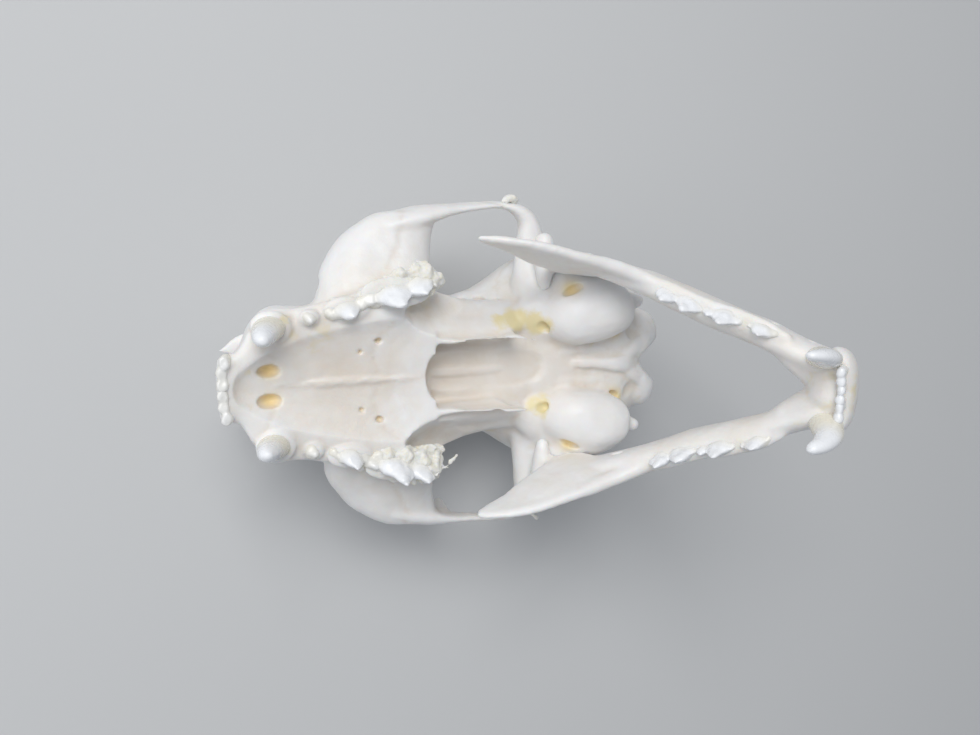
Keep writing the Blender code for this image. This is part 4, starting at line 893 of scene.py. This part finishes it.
class Nodes:
    """A material under construction."""

    def __init__(self, name):
        self.material = bpy.data.materials.new(name)
        self.material.use_nodes = True
        self.tree = self.material.node_tree
        self.shader = self.tree.nodes["Principled BSDF"]
        self.place = self.add("ShaderNodeTexCoord").outputs["Object"]

    def add(self, kind, **settings):
        made = self.tree.nodes.new(kind)
        for key, value in settings.items():
            setattr(made, key, value)
        return made

    def feed(self, socket, value):
        """Set a socket to a number or colour, or link it to another socket."""
        if isinstance(value, bpy.types.NodeSocket):
            self.tree.links.new(value, socket)
        else:
            socket.default_value = value

    def node(self, kind, inputs, output, **settings):
        """A node with its inputs fed; gives one of its outputs."""
        made = self.add(kind, **settings)
        for key, value in inputs.items():
            self.feed(made.inputs[key], value)
        return made.outputs[output]

    def noise(self, scale, detail=4.0, roughness=0.55, distortion=0.0):
        """Clouds whose number to a metre is the scale."""
        return self.node("ShaderNodeTexNoise", {
            "Vector": self.place, "Scale": scale, "Detail": detail, "Roughness": roughness,
            "Distortion": distortion}, "Fac")

    def pores(self, scale):
        """Distance from the nearest of many scattered points."""
        return self.node("ShaderNodeTexVoronoi", {"Vector": self.place, "Scale": scale}, "Distance")

    def painted(self, name):
        """A value that the corners of the piece keep."""
        return self.add("ShaderNodeAttribute", attribute_name=name).outputs["Fac"]

    def ramp(self, value, low, high, to_low=0.0, to_high=1.0):
        """A value that runs from to_low to to_high while its source runs from low to high."""
        return self.node("ShaderNodeMapRange", {
            "Value": value, "From Min": low, "From Max": high, "To Min": to_low, "To Max": to_high,
        }, "Result")

    def math(self, operation, first, second):
        return self.node("ShaderNodeMath", {0: first, 1: second}, 0, operation=operation)

    def times(self, first, second):
        return self.math("MULTIPLY", first, second)

    def mix(self, amount, first, second):
        """The first colour, with an amount of the second over it."""
        inputs = {"Factor": amount, "A": colour_of(first), "B": colour_of(second)}
        return self.node("ShaderNodeMix", inputs, "Result", data_type="RGBA")

    def bump(self, height, distance, strength, below=None):
        """A relief as deep as the distance in metres, laid over another one."""
        inputs = {"Height": height, "Distance": distance, "Strength": strength}
        if below:
            inputs["Normal"] = below
        return self.node("ShaderNodeBump", inputs, "Normal")

    def finished(self, inputs):
        """The material, once its shader's inputs are fed."""
        for key, value in inputs.items():
            self.feed(self.shader.inputs[key], value)
        return self.material


def colour_of(value):
    """A colour with its alpha, or a socket as it is."""
    return value if isinstance(value, bpy.types.NodeSocket) else (*value, 1.0)


def bone_material(name, settings):
    """Dry bone, pale on its rises and warmer in its hollows, with yellow stains, chalk and warm
    brown painted shade where painted.
    """
    made = Nodes(name)
    clouds = made.noise(scale=70, detail=5, roughness=0.6, distortion=0.6)
    mottle = made.noise(scale=420, detail=4, roughness=0.6, distortion=0.3)
    grain = made.noise(scale=2600, detail=3, roughness=0.6)
    chalk = made.painted("chalk")
    stain_and_shade_amount = made.math("ADD", made.painted("stain_and_shade"), made.times(mottle, 0.9))
    base = made.mix(made.ramp(clouds, 0.35, 0.68), settings.pale_bone, settings.bone)
    # The coats that go over it, from the lowest: how much of each, and its colour.
    coats = [
        (made.times(made.ramp(mottle, 0.42, 0.75), 0.22), settings.blush_and_shade),
        (made.times(made.painted("rise"), 0.55), settings.pale_bone),
        # The pink-beige spots of this coat and the yellow ones below also lay painted shade on the
        # left wall of the palate's vault.
        (made.times(made.painted("blush_and_shade"), made.ramp(clouds, 0.3, 0.6, 0.35, 0.8)), settings.blush_and_shade),
        (made.times(made.painted("hollow"), made.ramp(mottle, 0.3, 0.7, 0.3, 0.75)),
         settings.blush_and_shade),
        (made.ramp(stain_and_shade_amount, 0.72, 1.08, 0.0, 0.85), settings.stain_and_shade),
        (made.times(chalk, made.ramp(mottle, 0.35, 0.6, 0.3, 1.0)), settings.tissue),
        (made.painted("amber"), settings.amber),
        (made.times(made.painted("seam"), 0.35), settings.blush_and_shade),
    ]
    for amount, tint in coats:
        base = made.mix(amount, base, tint)
    gloss = made.ramp(made.noise(scale=260), 0.3, 0.7, 0.34, 0.5)
    pits = made.times(made.ramp(made.pores(scale=1500), 0.0, 0.5), made.ramp(clouds, 0.5, 0.7))
    crumbs = made.times(made.noise(scale=1300, detail=5, roughness=0.7), chalk)
    normal = made.bump(grain, distance=0.00003, strength=0.5)
    normal = made.bump(pits, distance=0.00005, strength=0.5, below=normal)
    normal = made.bump(crumbs, distance=0.0004, strength=0.9, below=normal)
    normal = made.bump(mottle, distance=0.00012, strength=0.4, below=normal)
    return made.finished({
        "Base Color": base, "Roughness": made.math("ADD", gloss, made.times(chalk, 0.3)),
        "Normal": normal, "Subsurface Weight": 0.22, "Subsurface Radius": (1.0, 0.62, 0.4),
        "Subsurface Scale": 0.0012, "IOR": 1.5, "Specular IOR Level": 0.42,
    })


def enamel_material(name, settings):
    """Tooth enamel: bluish white and glossy, yellowed at its foot."""
    made = Nodes(name)
    streaks = made.noise(scale=700, detail=4, roughness=0.6, distortion=0.4)
    base = made.mix(made.painted("foot"), settings.enamel, settings.gum_line)
    base = made.mix(made.ramp(streaks, 0.55, 0.8, 0.0, 0.3), base, settings.gum_line)
    return made.finished({
        "Base Color": base, "Roughness": made.ramp(streaks, 0.3, 0.7, 0.2, 0.36),
        "Normal": made.bump(made.noise(scale=900, detail=3), distance=0.00003, strength=0.35),
        "Subsurface Weight": 0.3, "Subsurface Radius": (0.8, 0.8, 0.8), "Subsurface Scale": 0.0008,
        "Coat Weight": 0.12, "Coat Roughness": 0.1,
    })


def tissue_material(name, settings):
    """Chalky dried tissue with greenish-yellow hollows."""
    made = Nodes(name)
    patches = made.noise(scale=900, detail=4, roughness=0.65)
    base = made.mix(made.ramp(patches, 0.36, 0.62, 0.0, 0.75), settings.tissue, settings.pale_bone)
    specks = made.noise(scale=500, detail=3)
    crumble = made.noise(scale=3200, detail=5, roughness=0.7)
    base = made.mix(made.ramp(specks, 0.55, 0.75, 0.0, 0.6), base, settings.stain_and_shade)
    return made.finished({
        "Base Color": base, "Roughness": made.ramp(patches, 0.3, 0.7, 0.55, 0.8),
        "Normal": made.bump(crumble, distance=0.0002, strength=0.7),
        "Subsurface Weight": 0.2, "Subsurface Radius": (1.0, 0.8, 0.5), "Subsurface Scale": 0.0008,
    })


def floor_material(settings):
    """Plain matte floor with the faintest grain."""
    made = Nodes("studio_floor")
    darker = tuple(channel * 0.97 for channel in settings.floor)
    return made.finished({
        "Base Color": made.mix(made.noise(scale=9, detail=2), settings.floor, darker),
        "Roughness": 0.9, "Specular IOR Level": 0.2,
    })


# ---------------------------------------------------------------- the bones

def paint_bone(piece, fine_depth, broad_rounds, broad_share, spots):
    """Paint a bone's hollows and rises from its shape, and the rest from its known spots."""
    corners, _normals, edges = mesh_arrays(piece)
    fine = hollowness(piece, rounds=12, depth=fine_depth)
    broad = hollowness(piece, rounds=broad_rounds, depth=0.9)
    shape = blurred(0.5 * fine + broad_share * broad, edges, rounds=2)
    paint(piece, "hollow", shape)
    paint(piece, "rise", -shape)
    for name, places in spots.items():
        paint(piece, name, near(corners, places))


def jaw_spots(spots):
    """Spots of the jaw on both sides, with a turned round because near() counts u backwards."""
    return mirrored([(-a, *rest) for a, *rest in spots])


def mark_seams(piece):
    """Sink the seams between the bones into a piece and paint them."""
    closeness = seams(piece)
    corners, normals, _edges = mesh_arrays(piece)
    move_corners(piece, corners - normals * (SEAM_DEPTH * closeness)[:, None])
    paint(piece, "seam", closeness)


def model_cranium(settings):
    """The cranium and its ear capsules as one bone, without its teeth."""
    bulk = joined("cranium", [
        loft(MUZZLE_SECTIONS), loft(FOREHEAD_SECTIONS), loft(BRAINCASE_SECTIONS),
        both(cheek_floor),
    ])
    fuse(bulk, BULK_GRID, rounds=6)
    carve(bulk, [both(ball, *orbit) for orbit in ORBITS])
    fuse(bulk, BULK_GRID, rounds=4)
    parts = [bulk, loft(ALVEOLAR_SECTIONS)]
    parts += [both(limb, path, lean=lean) for lean, path in SKULL_LIMBS.values()]
    parts += [both(ball, *swelling) for swelling in BASE_SWELLINGS]
    parts.append(limb(THROAT_ROOF, sides=40, power=4))
    parts += [both(ball, *PAROCCIPITAL_KNOB), ball(*NAPE_KNOB), ball(*BASE_KEEL)]
    bulk = joined("cranium", parts)
    fuse(bulk, LIMB_GRID, rounds=4)
    soften(bulk, SOFTENED, rounds=60)
    carve(bulk, [
        limb(VAULT, sides=48, steps=6, power=2),
        limb(NOSE_PASSAGE, sides=32),
        limb(THROAT_MOUTH, lean=FORWARDS, sides=80, power=2.7),
        both(limb, PALATE_SCOOP, lean=(0, 0.7, 1), sides=40, power=2.4),
        both(ball, *PALATINE_FISSURE),
        limb(SPINAL_OPENING, sides=32),
        both(ball, *EAR_SLIT),
        both(ball, *CONDYLE_GROOVE),
        both(ball, *BASE_GROOVE),
        both(limb, CHEEK_OPENING),
    ])
    openings = [both(ball, hole[:3], hole[3:], segments=20) for hole in SMALL_OPENINGS]
    carve(bulk, [joined("openings", openings)])
    ridges = [bulk]
    ridges += [both(limb, path, sides=12) for path in SKULL_RIDGES]
    ridges += [limb(path, sides=12) for path in MIDLINE_RIDGES]
    ridges += [both(ball, *collar) for collar in TOOTH_COLLARS]
    bulk = joined("cranium", ridges)
    fuse(bulk, settings.bone_fineness / MM * (1), rounds=4)
    roughen(bulk, CRANIUM_WAVES)
    carve(bulk, [ground_block()])
    thin_out(bulk, settings.bone_triangles)
    return bulk


def model_jaw(settings):
    """The lower jaw, whose halves are grown together at the chin, without its teeth."""
    parts = [both(limb, path, place=jaw_point, lean=lean) for lean, path in JAW_LIMBS.values()]
    parts.append(both(ball, *CHIN_SWELLING, place=jaw_point))
    jaw = joined("lower_jaw", parts)
    fuse(jaw, JAW_GRID, rounds=3)
    carve(jaw, [both(ball, *hollow, place=jaw_point) for hollow in JAW_HOLLOWS])
    carve(jaw, [both(ball, hole[:3], hole[3:], place=jaw_point, segments=20)
                for hole in JAW_OPENINGS])
    fuse(jaw, JAW_FINER * settings.bone_fineness / MM, rounds=5)
    roughen(jaw, JAW_WAVES)
    thin_out(jaw, settings.bone_triangles)
    return jaw


# ---------------------------------------------------------------- the teeth

def cheek_tooth(front, back, gum, half_thickness, cusps, crown, place, side, lean,
                spans=54, sides=28):
    """Bodies of a cheek tooth: a blade that rises to each cusp, and a core in each cusp."""
    start = place(front[0], side * front[1], gum)
    end = place(back[0], side * back[1], gum)
    along = (end - start).normalized()
    across = along.cross(Vector(UPWARDS))
    length = (end - start).length
    rise = along * lean[0] + Vector((0, lean[1], crown))
    rings = []
    for span in range(spans + 1):
        t = span / spans
        fill = math.sqrt(max(0.0, 1 - (2 * t - 1) ** 4)) * (1 - BLADE_END) + BLADE_END
        height = BLADE_LEAST
        for spot, _shift, top, _thick, long in cusps:
            away = min(abs(t - spot) * length / long, 1)
            height = max(height, top * (1 - away ** BLADE_FALL))
        centre = start.lerp(end, t)
        ring = []
        for corner in range(sides):
            angle = math.tau * corner / sides
            wide, tall = squircle(angle, BLADE_EDGE if math.sin(angle) > 0 else 2)
            lift = rise * (tall * height)
            if tall <= 0:
                lift = Vector((0, 0, crown * tall * BLADE_DEPTH))
            ring.append(centre + across * (wide * half_thickness * fill) + lift)
        rings.append(ring)
    bodies = [extruded(rings)]
    outward = Vector((-(back[1] - front[1]), back[0] - front[0])).normalized()
    row = place(back[0], back[1], 0) - place(front[0], front[1], 0)
    back_lean, side_lean = lean
    for spot, shift, top, thick, long in cusps:
        first = front[0] + spot * (back[0] - front[0]) + shift * outward.x
        second = front[1] + spot * (back[1] - front[1]) + shift * outward.y
        path = []
        for level, breadth in CUSP_RINGS:
            height = CORE_HEIGHT * top * level
            above = max(height, 0)
            path.append((first + back_lean * above, second + side * side_lean * above,
                         gum + crown * height, thick * breadth, CORE_LENGTH * long * breadth))
        bodies.append(limb(path, side, place, row, power=2, sides=24, steps=3))
    return bodies


def model_teeth(name, side, cheek_teeth, canine_path, band, incisors, place, lean, gum, crown,
                settings):
    """One side's teeth, fused and with their yellowed feet painted; crown is 1 up and -1 down."""
    parts = []
    for shape in cheek_teeth.values():
        parts += cheek_tooth(*shape, crown, place, side, lean)
    canine = limb(canine_path, side, place, FORWARDS, power=2, sides=72, steps=12)
    parts.append(limb(band, side, place, power=2.6))
    parts += [limb(path, side, place, FORWARDS, power=2, sides=16) for path in incisors]
    teeth = joined(name, parts)
    fuse(teeth, settings.tooth_fineness / MM, rounds=3)
    roughen(teeth, TOOTH_WAVES)
    for piece, foot, reach in ((teeth, *CHEEK_TOOTH_FOOT), (canine, *CANINE_FOOT)):
        corners, _normals, _edges = mesh_arrays(piece)
        paint(piece, "foot", 1 - (crown * (corners[:, 2] - gum) - foot) / reach)
    return joined(name, [teeth, canine])


# ---------------------------------------------------------------- operators

class SKULL_OT_cranium(bpy.types.Operator):
    """Model the cranium"""

    bl_idname = "skull.cranium"
    bl_label = "Cranium"

    def execute(self, context):
        settings = context.scene.skull_settings
        cranium = model_cranium(settings)
        # The spots painted here include warm brown painted shade on the left wall of the palate's
        # vault.
        paint_bone(cranium, fine_depth=0.10, broad_rounds=150, broad_share=0.8, spots={
            "stain_and_shade": STAINS_AND_SHADE, "blush_and_shade": BLUSHES_AND_SHADE, "chalk": CHALKS, "amber": mirrored(AMBERS)})
        mark_seams(cranium)
        cranium.data.materials.append(bone_material("cranium_bone", settings))
        laid_down(cranium, skull_matrix(),
                  ("face_and_palate", "braincase", "zygomatic_arch_left", "zygomatic_arch_right",
                   "auditory_bulla_left", "auditory_bulla_right"))
        return {"FINISHED"}


class SKULL_OT_lower_jaw(bpy.types.Operator):
    """Model the lower jaw"""

    bl_idname = "skull.lower_jaw"
    bl_label = "Lower jaw"

    def execute(self, context):
        settings = context.scene.skull_settings
        jaw = model_jaw(settings)
        paint_bone(jaw, fine_depth=0.12, broad_rounds=120, broad_share=0.6, spots={
            "blush_and_shade": jaw_spots(JAW_BLUSHES), "stain_and_shade": jaw_spots(JAW_STAINS),
            "chalk": jaw_spots(JAW_CHALKS)})
        jaw.data.materials.append(bone_material("jaw_bone", settings))
        laid_down(jaw, jaw_matrix(), ("mandible_left", "mandible_right"))
        return {"FINISHED"}


class SKULL_OT_upper_teeth(bpy.types.Operator):
    """Model the upper teeth"""

    bl_idname = "skull.upper_teeth"
    bl_label = "Upper teeth"

    def execute(self, context):
        settings = context.scene.skull_settings
        finish = enamel_material("upper_enamel", settings)
        for side, word in SIDES:
            incisors = [[(u + shift, y, z * (height if z < -1 else 1), thick, wide)
                         for shift, z, thick, wide in UPPER_INCISOR]
                        for u, y, height in UPPER_INCISORS]
            teeth = model_teeth(
                "upper_teeth_" + word, side, UPPER_TEETH, UPPER_CANINE, UPPER_INCISOR_BAND,
                incisors, skull_point, UPPER_LEAN, UPPER_GUM, -1, settings)
            teeth.data.materials.append(finish)
            laid_down(teeth, skull_matrix())
        return {"FINISHED"}


class SKULL_OT_lower_teeth(bpy.types.Operator):
    """Model the lower teeth"""

    bl_idname = "skull.lower_teeth"
    bl_label = "Lower teeth"

    def execute(self, context):
        settings = context.scene.skull_settings
        finish = enamel_material("lower_enamel", settings)
        for side, word in SIDES:
            shift, thinner = LOWER_CANINE_CHANGE[side]
            canine = [(a - shift, y, b + shift / 2, (1 - thinner) * thick, long)
                      for a, y, b, thick, long in LOWER_CANINE]
            incisors = [[(a + ahead, y, b + height * from_tip, thick, wide)
                         for ahead, b, thick, wide, from_tip in LOWER_INCISOR]
                        for a, y, height in LOWER_INCISORS]
            teeth = model_teeth(
                "lower_teeth_" + word, side, LOWER_TEETH, canine, LOWER_INCISOR_BAND, incisors,
                jaw_point, LOWER_LEAN, LOWER_GUM, 1, settings)
            teeth.data.materials.append(finish)
            laid_down(teeth, jaw_matrix())
        return {"FINISHED"}


class SKULL_OT_dried_tissue(bpy.types.Operator):
    """Model the crumbs of dried tissue"""

    bl_idname = "skull.dried_tissue"
    bl_label = "Dried tissue"

    def execute(self, context):
        settings = context.scene.skull_settings
        finish = tissue_material("dry_tissue", settings)
        for side, word in SIDES:
            parts = [ball((u, y, z + LUMP_SUNK), [radius * share for share in LUMP_SHAPE],
                          side=side, segments=20) for u, y, z, radius in TISSUE_LUMPS[side]]
            chips = TISSUE_CHIPS[side] + [ARCH_CHIPS[side]]
            parts += [limb(path, side, sides=14) for path in chips]
            parts += [limb(path, side, sides=20) for path in TISSUE_CRUSTS[side]]
            crumbs = joined("dried_tissue_" + word, parts)
            fuse(crumbs, settings.tooth_fineness / MM, rounds=2)
            roughen(crumbs, TISSUE_WAVES)
            fuse(crumbs, settings.tooth_fineness / MM, rounds=1)
            crumbs.data.materials.append(finish)
            laid_down(crumbs, skull_matrix())
        return {"FINISHED"}


class SKULL_OT_studio(bpy.types.Operator):
    """Set up the floor, the lights and the camera"""

    bl_idname = "skull.studio"
    bl_label = "Studio"

    def execute(self, context):
        settings = context.scene.studio_settings
        deselect()
        bpy.ops.mesh.primitive_plane_add(size=FLOOR_SIZE)
        floor = context.object
        floor.name = "studio_floor"
        floor.data.materials.append(floor_material(settings))

        turn = Euler([math.radians(angle) for angle in CAMERA_TURN]).to_matrix().to_4x4()
        view = skull_matrix() @ Matrix.Translation(CAMERA_PLACE) @ turn
        place, rotation, _scale = view.decompose()
        bpy.ops.object.camera_add(location=place, rotation=rotation.to_euler())
        camera = context.object
        camera.data.lens = CAMERA_LENS
        camera.data.clip_start = 0.001
        context.scene.camera = camera

        self.lamp("key_light", *KEY_LAMP, settings.key_power)
        self.lamp("fill_light", *FILL_LAMP, settings.fill_power)
        world = bpy.data.worlds.new("studio_sky")
        world.use_nodes = True
        sky = world.node_tree.nodes["Background"]
        sky.inputs["Color"].default_value = SKY_COLOUR
        sky.inputs["Strength"].default_value = settings.sky
        context.scene.world = world
        context.scene.view_settings.view_transform = "Standard"
        return {"FINISHED"}

    def lamp(self, name, place, size, colour, power):
        """One soft square light that faces the skull."""
        bpy.ops.object.light_add(type="AREA", location=place)
        light = bpy.context.object
        light.name = name
        light.data.size = size
        light.data.energy = power
        light.data.color = colour
        aim = Vector(LAMPS_FACE) - light.location
        light.rotation_euler = aim.to_track_quat("-Z", "Y").to_euler()


class SKULL_PT_panel(bpy.types.Panel):
    """Settings and steps of the skull"""

    bl_label = "Cat skull"
    bl_idname = "SKULL_PT_panel"
    bl_space_type = "VIEW_3D"
    bl_region_type = "UI"
    bl_category = "Skull"

    def draw(self, context):
        for settings in (context.scene.skull_settings, context.scene.studio_settings):
            box = self.layout.box()
            for key in settings.bl_rna.properties.keys():
                if key not in ("rna_type", "name"):
                    box.prop(settings, key)
        for step in STEPS:
            self.layout.operator(step.bl_idname)


STEPS = (
    SKULL_OT_cranium, SKULL_OT_lower_jaw, SKULL_OT_upper_teeth, SKULL_OT_lower_teeth,
    SKULL_OT_dried_tissue, SKULL_OT_studio,
)
CLASSES = (SkullSettings, StudioSettings, *STEPS, SKULL_PT_panel)


def register():
    for kind in CLASSES:
        bpy.utils.register_class(kind)
    bpy.types.Scene.skull_settings = PointerProperty(type=SkullSettings)
    bpy.types.Scene.studio_settings = PointerProperty(type=StudioSettings)


def unregister():
    del bpy.types.Scene.studio_settings
    del bpy.types.Scene.skull_settings
    for kind in reversed(CLASSES):
        bpy.utils.unregister_class(kind)


def main():
    """Model every piece in order."""
    register()
    bpy.ops.skull.cranium()
    bpy.ops.skull.lower_jaw()
    bpy.ops.skull.upper_teeth()
    bpy.ops.skull.lower_teeth()
    bpy.ops.skull.dried_tissue()
    bpy.ops.skull.studio()


if __name__ == "__main__":
    main()
